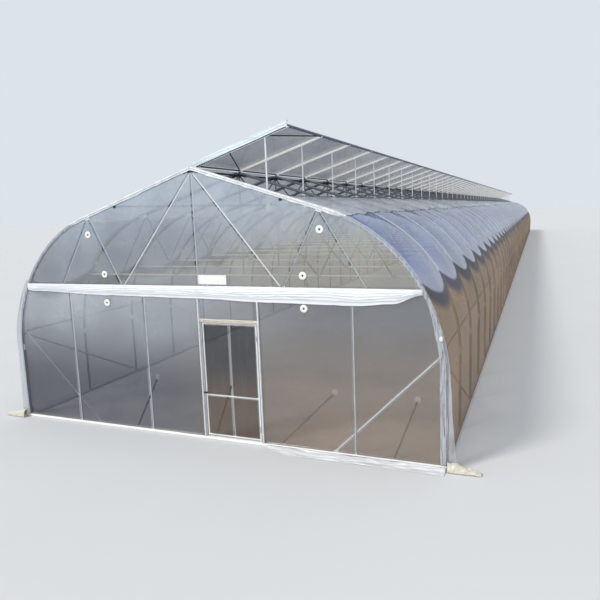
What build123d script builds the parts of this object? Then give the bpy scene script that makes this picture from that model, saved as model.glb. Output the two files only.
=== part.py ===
"""Polytunnel greenhouse with a half-roof ridge vent, as a 1:10 scale model.

X runs across the gable, Y from the front gable back along the tunnel, Z up. The origin
lies on the ground under the middle of the front arch. Sizes are millimetres of the model:
200 here is 2.0 m on the real tunnel.
"""
import os
from math import asin, atan2, cos, degrees, hypot, radians, sin, sqrt, tan

from build123d import *

# Tunnel and arches
bay_pitch = 200.0
bay_count = 48
half_width = 490.0
spring_height = 169.0
haunch_radius = 310.0
roof_slope = 18.0
arch_tube = 6.0

# Ground rails and gable sills
sill_height = 5.5
sill_depth = 12.0

# Trusses: one in each arch
tie_height = 320.0
tie_tube = 4.0
king_tube = 3.2
web_tube = 3.2
web_head_inset = 10.0
web_inner_run = 80.0
web_outer_run = 88.0
web_spread = 2.5
bracket_length = 13.0
bracket_width = 5.0
bracket_height = 3.0

# Purlins that run the whole length
purlin_tube = 4.0
slope_purlin_inset = 84.0

# Gaps: a member's end stops joint_gap short, a sheet lies seat_gap off its frame
joint_gap = 0.2
seat_gap = 0.3

# Film, modelled thicker than the real 0.2 mm sheet
film = 0.8
film_ground_gap = 0.5
right_film_lap = 8.0
left_film_top_x = 3.5

# Gable posts: one in the middle, one each side of it, one near each corner
post_tube = 4.0
left_post_x = -135.0
door_post_x = 131.0
left_corner_inset = 157.0
right_corner_inset = 166.0
door_head_height = 250.0

# Gable braces, and the rail with its braces inside each side wall
brace_tube = 3.2
gable_brace_height = 207.0
gable_brace_run = 207.0
side_brace_drop = 6.0
side_brace_bays = 2

# Door leaf
leaf_tube = 3.2
leaf_side_gap = 2.0
leaf_bottom_gap = 2.5
leaf_top_gap = 1.5
leaf_mid_rail_height = 95.0
leaf_bar = 2.0
hinge_sleeve = 3.0
hinge_pin = 1.6
hinge_sleeve_height = 6.0
hinge_arm_height = 2.0
hinge_running_gap = 0.05
hinge_heights = [32.0, 218.0]
latch_length = 9.0
latch_height = 3.0
latch_depth = 2.2

# Film roll bunched under the tie: its depth at shares of the way from the middle to its end
roll_thickness = 8.0
roll_end_drop = 14.0
roll_left_drop = 17.0
roll_left_mid_drop = 24.0
roll_middle_drop = 27.0
roll_right_mid_drop = 31.0
roll_deepest_drop = 34.0
roll_right_drop = 28.0
roll_drops = [(-0.95, roll_left_drop), (-0.52, roll_left_mid_drop), (0.0, roll_middle_drop),
              (0.32, roll_right_mid_drop), (0.79, roll_deepest_drop), (0.91, roll_right_drop)]

# Washers that clamp the gable film, with the rods behind them
washer_diameter = 15.0
washer_hole = 4.0
washer_thickness = 1.5
washer_rod = 1.6
washer_head_drop = 30.0
washer_tie_inset = 36.0
washer_tie_rise = 24.0
washer_tie_drop = 38.0

# Raking risers with a round cap, just inside the front gable: foot and cap places across it
riser_tube = 2.4
riser_cap = 12.0
riser_cap_thickness = 4.0
riser_height = 105.0
riser_reach = 50.0
riser_places = [(-185.0, -152.0), (15.0, 37.0), (165.0, 268.0), (395.0, 432.0)]

# Blank plate above the tie
plate_left = 4.0
plate_width = 64.0
plate_height = 19.0
plate_thickness = 1.0
plate_rise = 5.0

# Film along the edge of each gable arch, and loose film on the ground
edge_band_width = 7.0
edge_band_thickness = 1.2
skirt_door_gap = 29.0
skirt_depth = 24.0
skirt_height = 7.0
bundle_length = 62.0
bundle_height = 16.0
bundle_width = 16.0

# Ridge vent: a flap that carries the left slope on past the ridge
vent_slope = 17.0
vent_overhang = 7.0
vent_end_inset = 20.0
vent_tube = 4.0
vent_rafter_offset = 6.0
vent_band_height = 11.0
vent_brace_tube = 2.4
vent_brace_low_x = 75.0
rack_inset = 45.0
rack_width = 3.0
rack_depth = 1.6
rack_tail = 8.0
casing_drop = 33.0
casing_length = 10.0
casing_rise = 12.0
casing_depth = 6.0
hanger_width = 3.0
shaft_tube = 3.0

# Worked out from the sizes above
length = bay_pitch * bay_count
arch_places = [bay_pitch * k for k in range(bay_count + 1)]
arch_r = arch_tube / 2
tie_r = tie_tube / 2
web_r = web_tube / 2
king_r = king_tube / 2
post_r = post_tube / 2
purlin_r = purlin_tube / 2
haunch_centre_x = half_width - haunch_radius
haunch_sweep = 90.0 - roof_slope
haunch_top_x = haunch_centre_x + haunch_radius * cos(radians(haunch_sweep))
haunch_top_z = spring_height + haunch_radius * sin(radians(haunch_sweep))
slope_rise = tan(radians(roof_slope))
slope_cos = cos(radians(roof_slope))
slope_sin = sin(radians(roof_slope))
apex_z = haunch_top_z + haunch_top_x * slope_rise
web_head = haunch_top_x - web_head_inset
web_inner_foot = web_head - web_inner_run
web_outer_foot = web_head + web_outer_run
slope_purlin_x = haunch_top_x - slope_purlin_inset
right_film_top_x = slope_purlin_x + right_film_lap
vent_reach = slope_purlin_x + vent_overhang
rack_x = vent_reach - rack_inset
skin_in = arch_r + seat_gap
skin_out = skin_in + film
gable_in = arch_r + seat_gap
gable_out = gable_in + film
trim_in = gable_out + seat_gap


def slope_z(x, offset=0.0):
    """Height of the roof line at x, moved out from the tube's middle by offset."""
    return apex_z - abs(x) * slope_rise + offset / slope_cos


def haunch_point(angle, side, offset=0.0, y=0.0):
    """Point of the haunch arc; angle is measured up from its springing."""
    reach = haunch_radius + offset
    x = haunch_centre_x + reach * cos(radians(angle))
    return Vector(side * x, y, spring_height + reach * sin(radians(angle)))


def arch_x(z, offset=0.0):
    """Half width of the arch line at a height on its leg or haunch."""
    if z <= spring_height:
        return half_width + offset
    return haunch_centre_x + sqrt((haunch_radius + offset) ** 2 - (z - spring_height) ** 2)


def block(low, high):
    """Box between two opposite corners."""
    size = [b - a for a, b in zip(low, high)]
    middle = [(a + b) / 2 for a, b in zip(low, high)]
    return Pos(*middle) * Box(*size)


def rod(start, end, diameter, cut_start=0.0, cut_end=0.0):
    """Straight round bar between two points, each end cut back by a length."""
    start, end = Vector(*start), Vector(*end)
    way = (end - start).normalized()
    start = start + way * cut_start
    run = (end - start).length - cut_end
    base = Plane(origin=start, z_dir=way)
    return base * Cylinder(diameter / 2, run, align=(Align.CENTER, Align.CENTER, Align.MIN))


def cut_back(own_r, other_r, angle):
    """Length to leave off a bar that meets another bar at an angle in degrees."""
    turn = radians(angle)
    return (other_r + joint_gap + own_r * abs(cos(turn))) / sin(turn)


def at_each(solid, places):
    """The same solid at each place along the tunnel."""
    return [Pos(0, y, 0) * solid for y in places]


def both_sides(make):
    """What make(side) gives for the left, -1, and for the right, 1."""
    return make(-1) + make(1)


def arch_path(side, offset, bottom, end_x, y=0.0):
    """Edges of one half of the arch line, from the ground up, moved out by offset."""
    foot = Vector(side * (half_width + offset), y, bottom)
    spring = haunch_point(0, side, offset, y)
    middle = haunch_point(haunch_sweep / 2, side, offset, y)
    shoulder = haunch_point(haunch_sweep, side, offset, y)
    end = Vector(side * end_x, y, slope_z(end_x, offset))
    return [Line(foot, spring), ThreePointArc(spring, middle, shoulder), Line(shoulder, end)]


def arch_sheet(side, end_x):
    """Film over one side of the arches, from the ground to a line near the ridge."""
    inner = arch_path(side, skin_in, film_ground_gap, end_x)
    outer = arch_path(side, skin_out, film_ground_gap, end_x)
    foot = Line(inner[0] @ 0, outer[0] @ 0)
    top = Line(inner[2] @ 1, outer[2] @ 1)
    face = Face(Wire(inner + outer + [foot, top]))
    sheet = extrude(face, amount=length + 2 * gable_out, dir=(0, 1, 0))
    return Pos(0, -gable_out, 0) * sheet


def gable_plate(bottom, y_near, thickness, offset=0.0):
    """Flat plate with the outline of the whole arch, standing at y_near."""
    left = arch_path(-1, offset, bottom, 0.0, y_near)
    right = arch_path(1, offset, bottom, 0.0, y_near)
    foot = Line(left[0] @ 0, right[0] @ 0)
    return extrude(Face(Wire(left + right + [foot])), amount=thickness, dir=(0, 1, 0))


def ground_rails():
    """Rail under the legs of each side, between the two sills."""
    def rail(side):
        x = side * half_width
        return [block((x - arch_r, sill_depth / 2, 0), (x + arch_r, length - sill_depth / 2, sill_height))]
    return both_sides(rail)


def sill(y):
    """Pale strip across the foot of a gable."""
    reach = half_width + arch_r
    return block((-reach, y - sill_depth / 2, 0), (reach, y + sill_depth / 2, sill_height))


def legs():
    """Straight leg at each end of each arch."""
    def leg(side):
        x = side * half_width
        return at_each(rod((x, 0, sill_height), (x, 0, spring_height), arch_tube), arch_places)
    return both_sides(leg)


def haunches(from_share, to_share):
    """Bent tube over a share of the haunch, at each arch and side."""
    def haunch(side):
        angles = [haunch_sweep * s for s in (from_share, (from_share + to_share) / 2, to_share)]
        start, middle, end = [haunch_point(angle, side) for angle in angles]
        path = ThreePointArc(start, middle, end)
        ring = Plane(origin=start, z_dir=path % 0) * Circle(arch_r)
        return at_each(sweep(ring, path=path), arch_places)
    return both_sides(haunch)


def roof_tubes(side):
    """Straight tube from the haunch to the apex, mitred where the two slopes meet."""
    shoulder = (side * haunch_top_x, 0, haunch_top_z)
    past_apex = (-side * arch_tube, 0, apex_z + arch_tube * slope_rise)
    tube = rod(shoulder, past_apex, arch_tube)
    keep = block((0, -arch_tube, 0), (half_width, arch_tube, 2 * apex_z))
    if side < 0:
        keep = mirror(keep, about=Plane.YZ)
    return at_each(tube & keep, arch_places)


ridge_purlin_z = slope_z(0, -arch_r) - (purlin_r + joint_gap) / slope_cos
slope_purlin_offset = -(arch_r + joint_gap + purlin_r)


def ridge_purlin():
    """Tube under the apex of every arch."""
    return rod((0, -arch_r, ridge_purlin_z), (0, length + arch_r, ridge_purlin_z), purlin_tube)


def slope_purlins():
    """Tube under each slope, where the right film ends and the vent comes down."""
    def purlin(side):
        x = side * (slope_purlin_x + slope_purlin_offset * slope_sin)
        z = slope_z(slope_purlin_x) + slope_purlin_offset * slope_cos
        return [rod((x, -arch_r, z), (x, length + arch_r, z), purlin_tube)]
    return both_sides(purlin)


def truss_ties():
    """Level tie across each arch."""
    rise = degrees(asin((tie_height - spring_height) / haunch_radius))
    x = arch_x(tie_height)
    cut = cut_back(tie_r, arch_r, 90.0 - rise)
    tie = rod((-x, 0, tie_height), (x, 0, tie_height), tie_tube, cut, cut)
    return at_each(tie, arch_places)


king_foot_z = tie_height + tie_r
king_head_z = ridge_purlin_z - purlin_r - joint_gap


def king_posts():
    """Upright from the tie to the ridge purlin."""
    return at_each(rod((0, 0, king_foot_z), (0, 0, king_head_z), king_tube), arch_places)


def long_diagonals():
    """Slanted web bar from the tie to the ridge, each side."""
    def diagonal(side):
        foot = (side * (web_inner_foot - web_spread), 0, tie_height)
        head = (0, 0, ridge_purlin_z)
        angle = degrees(atan2(ridge_purlin_z - tie_height, web_inner_foot - web_spread))
        foot_cut = cut_back(web_r, tie_r, angle)
        head_cut = max(cut_back(web_r, king_r, 90.0 - angle), cut_back(web_r, purlin_r, 90.0))
        return at_each(rod(foot, head, web_tube, foot_cut, head_cut), arch_places)
    return both_sides(diagonal)


def bracket_face(side, along):
    """Point on the underside of the bracket where web bars end, along the slope."""
    drop = arch_r + joint_gap + bracket_height
    x = web_head - drop * slope_sin + along * slope_cos
    z = slope_z(web_head) - drop * slope_cos - along * slope_sin
    return Vector(side * x, 0, z)


def web_struts(foot_x, lean):
    """Slanted web bar from the tie to the bracket on the arch, at each arch and side."""
    def strut(side):
        foot = Vector(side * (foot_x - lean * web_spread), 0, tie_height)
        head = bracket_face(side, lean * web_spread)
        run = head - foot
        angle = degrees(atan2(run.Z, abs(run.X)))
        face_angle = angle - lean * roof_slope
        foot_cut = cut_back(web_r, tie_r, angle)
        head_cut = cut_back(web_r, 0.0, face_angle)
        return at_each(rod(foot, head, web_tube, foot_cut, head_cut), arch_places)
    return both_sides(strut)


def brackets():
    """Short bracket under the arch where two web bars meet it."""
    def bracket(side):
        plate = block((-bracket_length / 2, -bracket_width / 2, -bracket_height),
                      (bracket_length / 2, bracket_width / 2, 0))
        x = web_head - (arch_r + joint_gap) * slope_sin
        z = slope_z(web_head) - (arch_r + joint_gap) * slope_cos
        return at_each(Pos(side * x, 0, z) * Rot(0, side * roof_slope, 0) * plate, arch_places)
    return both_sides(bracket)


gable_bottom = sill_height + seat_gap
tie_seam = seat_gap / 2
door_left_x = 0.0
door_right_x = door_post_x
post_places = [left_corner_inset - half_width, left_post_x, door_left_x, door_right_x,
               half_width - right_corner_inset]


def gable_film_part(low_x, high_x, low_z, high_z):
    """Part of the front gable film, between two uprights and two heights."""
    plate = gable_plate(gable_bottom, -gable_out, film)
    window = block((low_x, -gable_out - 1, low_z), (high_x, 1 - gable_in, high_z))
    return plate & window


def gable_posts():
    """Uprights from the sill to the tie, at both gables."""
    posts = []
    for y in (0.0, length):
        for x in post_places:
            posts.append(rod((x, y, sill_height), (x, y, tie_height - tie_r - joint_gap), post_tube))
    return posts


def gable_braces():
    """Slanted brace from each corner leg to the sill, just inside the posts."""
    inset = post_r + brace_tube / 2 + seat_gap
    braces = []
    for y in (inset, length - inset):
        for side in (-1, 1):
            head_x = side * (arch_x(gable_brace_height) - arch_r - joint_gap)
            foot_x = side * (half_width - gable_brace_run)
            angle = degrees(atan2(gable_brace_height - sill_height, abs(head_x - foot_x)))
            foot_cut = cut_back(brace_tube / 2, 0.0, angle)
            foot, head = (foot_x, y, sill_height), (head_x, y, gable_brace_height)
            braces.append(rod(foot, head, brace_tube, foot_cut))
    return braces


def side_braces():
    """Rail along the inside of each side wall's legs, with a slanted brace under each of its ends."""
    inset = arch_r + seat_gap + brace_tube / 2
    reach = side_brace_bays * bay_pitch
    brace_head_z = gable_brace_height - side_brace_drop
    angle = degrees(atan2(brace_head_z - sill_height, reach))
    foot_cut = cut_back(brace_tube / 2, 0.0, angle)
    rail_near_y = post_r + brace_tube + 2 * seat_gap
    rail_far_y = length - rail_near_y
    bars = []
    for side in (-1, 1):
        rail_x = side * arch_x(gable_brace_height, -inset)
        rail_ends = [(rail_x, y, gable_brace_height) for y in (rail_near_y, rail_far_y)]
        bars.append(rod(*rail_ends, brace_tube))
        for head_y, foot_y in ((0.0, reach), (length, length - reach)):
            foot = (side * (half_width - inset), foot_y, sill_height)
            head = (side * arch_x(brace_head_z, -inset), head_y, brace_head_z)
            bars.append(rod(foot, head, brace_tube, foot_cut))
    return bars


def door_header():
    """Level tube over the door, between its two posts."""
    ends = [(x, 0, door_head_height) for x in (door_left_x, door_right_x)]
    cut = cut_back(post_r, post_r, 90.0)
    return rod(*ends, post_tube, cut, cut)


hinge_x = door_right_x - post_r - leaf_side_gap - leaf_tube + hinge_sleeve
hinge_y = -(post_r + seat_gap + hinge_sleeve / 2)
leaf_left_x = door_left_x + post_r + leaf_side_gap + leaf_tube / 2
leaf_right_x = door_right_x - post_r - leaf_side_gap - leaf_tube / 2
leaf_bottom_z = sill_height + leaf_bottom_gap + leaf_tube / 2
leaf_top_z = door_head_height - post_r - leaf_top_gap - leaf_tube / 2


def door_frame():
    """Tube frame of the leaf: two stiles, with three rails that end at them."""
    reach = leaf_tube / 2
    cut = cut_back(reach, reach, 90.0)
    stiles = [rod((x, 0, leaf_bottom_z - reach), (x, 0, leaf_top_z + reach), leaf_tube)
              for x in (leaf_left_x, leaf_right_x)]
    rails = [rod((leaf_left_x, 0, z), (leaf_right_x, 0, z), leaf_tube, cut, cut)
             for z in (leaf_bottom_z, leaf_mid_rail_height, leaf_top_z)]
    return stiles + rails


def door_bar():
    """Thin upright bar behind the rails, in the middle of the leaf."""
    x = (leaf_left_x + leaf_right_x) / 2
    y = leaf_tube / 2 + joint_gap + leaf_bar / 2
    return [rod((x, y, leaf_bottom_z), (x, y, leaf_top_z), leaf_bar)]


def door_film():
    """Film stretched over the outside of the leaf."""
    near = leaf_tube / 2 + seat_gap
    low = (leaf_left_x, -near - film, leaf_bottom_z)
    high = (leaf_right_x - leaf_tube / 2, -near, leaf_top_z)
    return block(low, high)


def door_latch():
    """Latch on the closing stile, whose tongue laps the post."""
    near = leaf_tube / 2 + 2 * seat_gap + film
    low = (door_left_x + joint_gap, -near - latch_depth, leaf_mid_rail_height + leaf_tube)
    high = (door_left_x + joint_gap + latch_length, -near, leaf_mid_rail_height + leaf_tube + latch_height)
    return block(low, high)


def hinge_sleeves():
    """Sleeve and strap of each hinge, on the leaf."""
    sleeves = []
    for z in hinge_heights:
        low_z, high_z = z - hinge_sleeve_height / 2, z + hinge_sleeve_height / 2
        bore = rod((hinge_x, hinge_y, low_z), (hinge_x, hinge_y, high_z), hinge_pin + 2 * hinge_running_gap)
        sleeve = rod((hinge_x, hinge_y, low_z), (hinge_x, hinge_y, high_z), hinge_sleeve)
        strap = block((leaf_right_x - leaf_tube / 4, hinge_y - hinge_sleeve / 4, low_z),
                      (hinge_x, -leaf_tube / 2 - joint_gap, high_z))
        sleeves.append(sleeve + strap - bore)
    return sleeves


def hinge_pins():
    """Pin of each hinge, held to the post by an arm above and below the sleeve."""
    pins = []
    for z in hinge_heights:
        reach = hinge_sleeve_height / 2 + joint_gap
        pin = rod((hinge_x, hinge_y, z - reach - hinge_arm_height),
                  (hinge_x, hinge_y, z + reach + hinge_arm_height), hinge_pin)
        for low_z in (z - reach - hinge_arm_height, z + reach):
            pin += block((hinge_x - hinge_pin / 2, hinge_y - hinge_pin / 2, low_z),
                         (door_right_x - joint_gap, -post_r - joint_gap, low_z + hinge_arm_height))
        pins.append(pin)
    return pins


edge_inner = edge_band_width - skin_out


def film_roll(y_face, facing):
    """Bunched film along the tie, flat against the gable film; facing is -1 at the front."""
    top = tie_height + tie_r
    end_x = arch_x(top, -edge_inner) - seat_gap
    points = [(-end_x, top), (end_x, top), (end_x, top - roll_end_drop)]
    points += [(share * end_x, top - drop) for share, drop in reversed(roll_drops)]
    points += [(-end_x, top - roll_end_drop)]
    outline = Polyline(*[Vector(x, y_face, z) for x, z in points], close=True)
    return extrude(Face(Wire(outline.edges())), amount=roll_thickness, dir=(0, facing, 0))


washer_tie_x = web_head - washer_tie_inset


def washers():
    """Round washers on the outside of the gable film, below the brackets and at the tie."""
    spots = [(web_head, slope_z(web_head) - arch_tube - bracket_height - washer_head_drop),
             (washer_tie_x, tie_height + washer_tie_rise), (washer_tie_x, tie_height - washer_tie_drop)]
    discs = []
    for side in (-1, 1):
        for x, z in spots:
            near, far = (side * x, -trim_in, z), (side * x, -trim_in - washer_thickness, z)
            discs.append(rod(near, far, washer_diameter) - rod(near, far, washer_hole))
    return discs


def washer_rods():
    """Short upright rods behind the gable film, between the washers at the tie."""
    y = tie_r + seat_gap + washer_rod / 2
    low_z, high_z = tie_height - washer_tie_drop, tie_height + washer_tie_rise
    places = [side * washer_tie_x for side in (-1, 1)]
    return [rod((x, y, low_z), (x, y, high_z), washer_rod) for x in places]


def risers():
    """Raking pipes that stand on the ground behind the sill, each with a round cap on top."""
    foot_y = sill_depth / 2 + 2 * seat_gap + riser_tube / 2
    above_ground = block((-half_width, 0, 0), (half_width, bay_pitch, tie_height))
    half = riser_cap_thickness / 2
    pipes = []
    for foot_x, cap_x in riser_places:
        foot, head = Vector(foot_x, foot_y, 0), Vector(cap_x, riser_reach, riser_height)
        below = foot - (head - foot).normalized() * riser_tube
        cap_near, cap_far = riser_reach - half, riser_reach + half
        cap = rod((cap_x, cap_near, riser_height), (cap_x, cap_far, riser_height), riser_cap)
        pipes.append((rod(below, head, riser_tube) & above_ground) + cap)
    return pipes


def blank_plate():
    """Bare rectangular plate on the gable film, above the tie."""
    low_z = tie_height + plate_rise
    return block((plate_left, -trim_in - plate_thickness, low_z),
                 (plate_left + plate_width, -trim_in, low_z + plate_height))


def edge_bands():
    """Film clipped round the edge of each gable arch: leg, haunch and slope."""
    inner, outer = -edge_inner, skin_out
    bands = []
    for y, way in ((-trim_in, -1), (length + trim_in, 1)):
        for side in (-1, 1):
            x_in, x_out = sorted((side * (half_width + inner), side * (half_width + outer)))
            y_in, y_out = sorted((y, y + way * edge_band_thickness))
            band_foot, band_head = sill_height + seat_gap, spring_height - joint_gap
            bands.append(block((x_in, y_in, band_foot), (x_out, y_out, band_head)))
            angles = (0, haunch_sweep / 2, haunch_sweep)
            arcs = [ThreePointArc(*[haunch_point(angle, side, offset, y) for angle in angles])
                    for offset in (inner, outer)]
            ends = [Line(arcs[0] @ t, arcs[1] @ t) for t in (0, 1)]
            ring = Face(Wire(arcs + ends))
            bands.append(extrude(ring, amount=edge_band_thickness, dir=(0, way, 0)))
            corners = [(haunch_top_x + inner * slope_sin - joint_gap, inner), (joint_gap, inner),
                       (joint_gap, outer), (haunch_top_x + outer * slope_sin - joint_gap, outer)]
            points = [Vector(side * x, y, slope_z(x, d)) for x, d in corners]
            strip = Face(Wire(Polyline(*points, close=True).edges()))
            bands.append(extrude(strip, amount=edge_band_thickness, dir=(0, way, 0)))
    return bands


def ground_skirt():
    """Loose film on the ground in front of the gable, right of the door."""
    end_x = half_width - edge_inner - seat_gap
    near = sill_depth / 2 + seat_gap
    start_x = door_right_x + skirt_door_gap
    points = [(near, 0), (near, skirt_height),
              (near + skirt_depth / 2, skirt_height * 0.6), (near + skirt_depth, 0)]
    outline = Polyline(*[Vector(start_x, -y, z) for y, z in points], close=True)
    return extrude(Face(Wire(outline.edges())), amount=end_x - start_x, dir=(1, 0, 0))


def corner_bundles():
    """Film gathered and tied on the ground at each front corner."""
    bundles = []
    for side in (-1, 1):
        start_x = half_width + skin_out + seat_gap
        middle_x, far_x = start_x + bundle_length / 2, start_x + bundle_length
        outline = [(start_x, 0), (start_x, bundle_height), (middle_x, bundle_height * 0.8),
                   (far_x, bundle_height / 4), (far_x, 0)]
        points = [Vector(side * x, -gable_out - bundle_width, z) for x, z in outline]
        face = Face(Wire(Polyline(*points, close=True).edges()))
        bundles.append(extrude(face, amount=bundle_width, dir=(0, 1, 0)))
    return bundles


vent_r = vent_tube / 2
vent_cos = cos(radians(vent_slope))
vent_sin = sin(radians(vent_slope))
vent_hinge_z = slope_z(0, arch_r) + joint_gap + vent_r
vent_edge_z = vent_hinge_z + vent_reach * vent_sin / vent_cos
vent_near_y = vent_end_inset
vent_far_y = length - vent_end_inset
rafter_places = [vent_near_y] + [y + vent_rafter_offset for y in arch_places[1:-1]] + [vent_far_y]


def vent_z(x, offset=0.0):
    """Height of the flap's line at x, moved out from the rafter's middle by offset."""
    return vent_hinge_z + (x * vent_sin + offset) / vent_cos


def vent_hinge_tube():
    """Tube on top of the ridge that carries the flap's rafters."""
    return rod((0, vent_near_y, vent_hinge_z), (0, vent_far_y, vent_hinge_z), vent_tube)


def vent_edge_tube():
    """Tube along the flap's free edge."""
    near_end = (vent_reach, vent_near_y - vent_r, vent_edge_z)
    far_end = (vent_reach, vent_far_y + vent_r, vent_edge_z)
    return rod(near_end, far_end, vent_tube)


def vent_rafters():
    """Rafter of the flap at each end and beside each arch."""
    cut = cut_back(vent_r, vent_r, 90.0)
    rafter = rod((0, 0, vent_hinge_z), (vent_reach, 0, vent_edge_z), vent_tube, cut, cut)
    return at_each(rafter, rafter_places)


def vent_film():
    """Film over the flap, from the ridge to the free edge."""
    inner, outer = vent_r + seat_gap, vent_r + seat_gap + film
    left_x, right_x = joint_gap, vent_reach + vent_r
    corners = [(left_x, inner), (right_x, inner), (right_x, outer), (left_x, outer)]
    outline = Polyline(*[Vector(x, vent_near_y - vent_r, vent_z(x, d)) for x, d in corners], close=True)
    return extrude(Face(Wire(outline.edges())), amount=vent_far_y - vent_near_y + 2 * vent_r, dir=(0, 1, 0))


def vent_end_bands():
    """Band of film that closes each end of the flap."""
    bands = []
    low, high = -vent_r, vent_band_height - vent_r
    for y, way in ((vent_near_y - vent_r - seat_gap, -1), (vent_far_y + vent_r + seat_gap, 1)):
        corners = [(vent_r, low), (vent_reach, low), (vent_reach, high), (vent_r, high)]
        outline = Polyline(*[Vector(x, y, vent_z(x, d)) for x, d in corners], close=True)
        bands.append(extrude(Face(Wire(outline.edges())), amount=film, dir=(0, way, 0)))
    return bands


def vent_braces():
    """Slanted braces in the flap's first and last bay, under the film."""
    braces = []
    for near_y, far_y in ((rafter_places[0], rafter_places[1]), (rafter_places[-1], rafter_places[-2])):
        for low_x, high_x in ((vent_brace_low_x, 0.0), (rack_x, vent_reach)):
            start = Vector(low_x, near_y, vent_z(low_x))
            end = Vector(high_x, far_y, vent_z(high_x))
            angle = degrees(atan2(hypot(end.X - start.X, end.Z - start.Z), abs(far_y - near_y)))
            start_cut = cut_back(vent_brace_tube / 2, vent_r, 90.0 - angle)
            end_cut = max(start_cut, cut_back(vent_brace_tube / 2, vent_r, angle)) + vent_r
            braces.append(rod(start, end, vent_brace_tube, start_cut, end_cut))
    return braces


rack_top_z = vent_z(rack_x - rack_width / 2, -vent_r) - joint_gap
shaft_x = rack_x + (rack_width + shaft_tube) / 2 + seat_gap
casing_height = slope_z(shaft_x) - casing_drop


def vent_racks():
    """Upright toothed bar under each rafter."""
    rack = block((rack_x - rack_width / 2, -rack_depth / 2, casing_height - rack_tail),
                 (rack_x + rack_width / 2, rack_depth / 2, rack_top_z))
    return at_each(rack, rafter_places)


def casing_places():
    """Middle of each pinion casing along the tunnel: in front of its rack, behind the last one."""
    reach = rack_depth / 2 + seat_gap + casing_depth / 2
    return [y - reach for y in rafter_places[:-1]] + [rafter_places[-1] + reach]


def vent_casings():
    """Pinion casing beside each rack, on a hanger; an arm takes the end ones to the gable arch."""
    half = casing_depth / 2
    top = slope_z(shaft_x + hanger_width / 2, -arch_r) - joint_gap
    near_x, far_x = shaft_x - hanger_width / 2, shaft_x + hanger_width / 2
    places = casing_places()
    casings = []
    for y in places:
        arm_end = {places[0]: 0.0, places[-1]: length}.get(y, y)
        casing = block((shaft_x - casing_length / 2, y - half, casing_height - casing_rise / 2),
                       (shaft_x + casing_length / 2, y + half, casing_height + casing_rise / 2))
        hanger = block((near_x, y - half, casing_height), (far_x, y + half, top))
        arm_near, arm_far = min(y - half, arm_end), max(y + half, arm_end)
        arm = block((near_x, arm_near, top - hanger_width), (far_x, arm_far, top))
        casings.append(casing + hanger + arm)
    return casings


def vent_shaft():
    """Drive shaft, in lengths between the casings."""
    places = casing_places()
    half = casing_depth / 2
    return [rod((shaft_x, near + half, casing_height), (shaft_x, far - half, casing_height), shaft_tube)
            for near, far in zip(places, places[1:])]


seam_left = door_left_x - seat_gap / 2
seam_right = door_right_x + seat_gap / 2
wide = 2 * half_width
tall = 2 * apex_z

nodes = {
    "ground_rails": ground_rails(),
    "gable_sills": [sill(0.0), sill(length)],
    "leg_tubes": legs(),
    "haunch_tubes_lower": haunches(0.0, 0.5),
    "haunch_tubes_upper": haunches(0.5, 1.0),
    "roof_tubes_left": roof_tubes(-1),
    "roof_tubes_right": roof_tubes(1),
    "ridge_purlin": ridge_purlin(),
    "slope_purlins": slope_purlins(),
    "truss_ties": truss_ties(),
    "king_posts": king_posts(),
    "truss_long_diagonals": long_diagonals(),
    "truss_struts": web_struts(web_inner_foot, -1) + web_struts(web_outer_foot, 1),
    "truss_brackets": brackets(),
    "left_film": arch_sheet(-1, left_film_top_x),
    "right_film": arch_sheet(1, right_film_top_x),
    "front_film_upper": gable_film_part(-wide, wide, tie_height + tie_seam, tall),
    "front_film_left": gable_film_part(-wide, seam_left, 0, tie_height - tie_seam),
    "front_film_right": gable_film_part(seam_right, wide, 0, tie_height - tie_seam),
    "front_film_over_door": gable_film_part(seam_left + seat_gap, seam_right - seat_gap, door_head_height,
                                            tie_height - tie_seam),
    "rear_film": gable_plate(gable_bottom, length + gable_in, film),
    "gable_posts": gable_posts(),
    "gable_braces": gable_braces(),
    "side_braces": side_braces(),
    "door_header": door_header(),
    "door_frame": door_frame() + door_bar(),
    "door_film": door_film(),
    "door_latch": door_latch(),
    "door_hinge_sleeves": hinge_sleeves(),
    "door_hinge_pins": hinge_pins(),
    "film_rolls": [film_roll(-trim_in, -1), film_roll(length + trim_in, 1)],
    "film_washers": washers(),
    "washer_rods": washer_rods(),
    "riser_pipes": risers(),
    "blank_plate": blank_plate(),
    "film_edge_bands": edge_bands(),
    "loose_ground_film": [ground_skirt()] + corner_bundles(),
    "vent_long_tubes": [vent_hinge_tube(), vent_edge_tube()],
    "vent_rafters": vent_rafters(),
    "vent_film": vent_film(),
    "vent_end_bands": vent_end_bands(),
    "vent_braces": vent_braces(),
    "vent_racks": vent_racks(),
    "vent_casings": vent_casings(),
    "vent_shaft": vent_shaft(),
}

os.makedirs("parts", exist_ok=True)
for name, shape in nodes.items():
    if isinstance(shape, list):
        shape = Compound(children=shape)
    export_step(shape, f"parts/{name}.step")
    print(name, len(shape.solids()), round(shape.volume / 1000, 2), "cm3")
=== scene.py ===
"""Looks of the polytunnel greenhouse with a half-roof ridge vent, a 1:10 scale model.

Everything is in metres of the model, in the CAD part's frame: X across the gable, Y back
along the tunnel, Z up, with the origin on the ground under the middle of the front arch.
"""
from functools import partial
from math import cos, pi, radians, sin, sqrt, tan

import bmesh
import bpy
from mathutils import Matrix, Vector, noise


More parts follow.
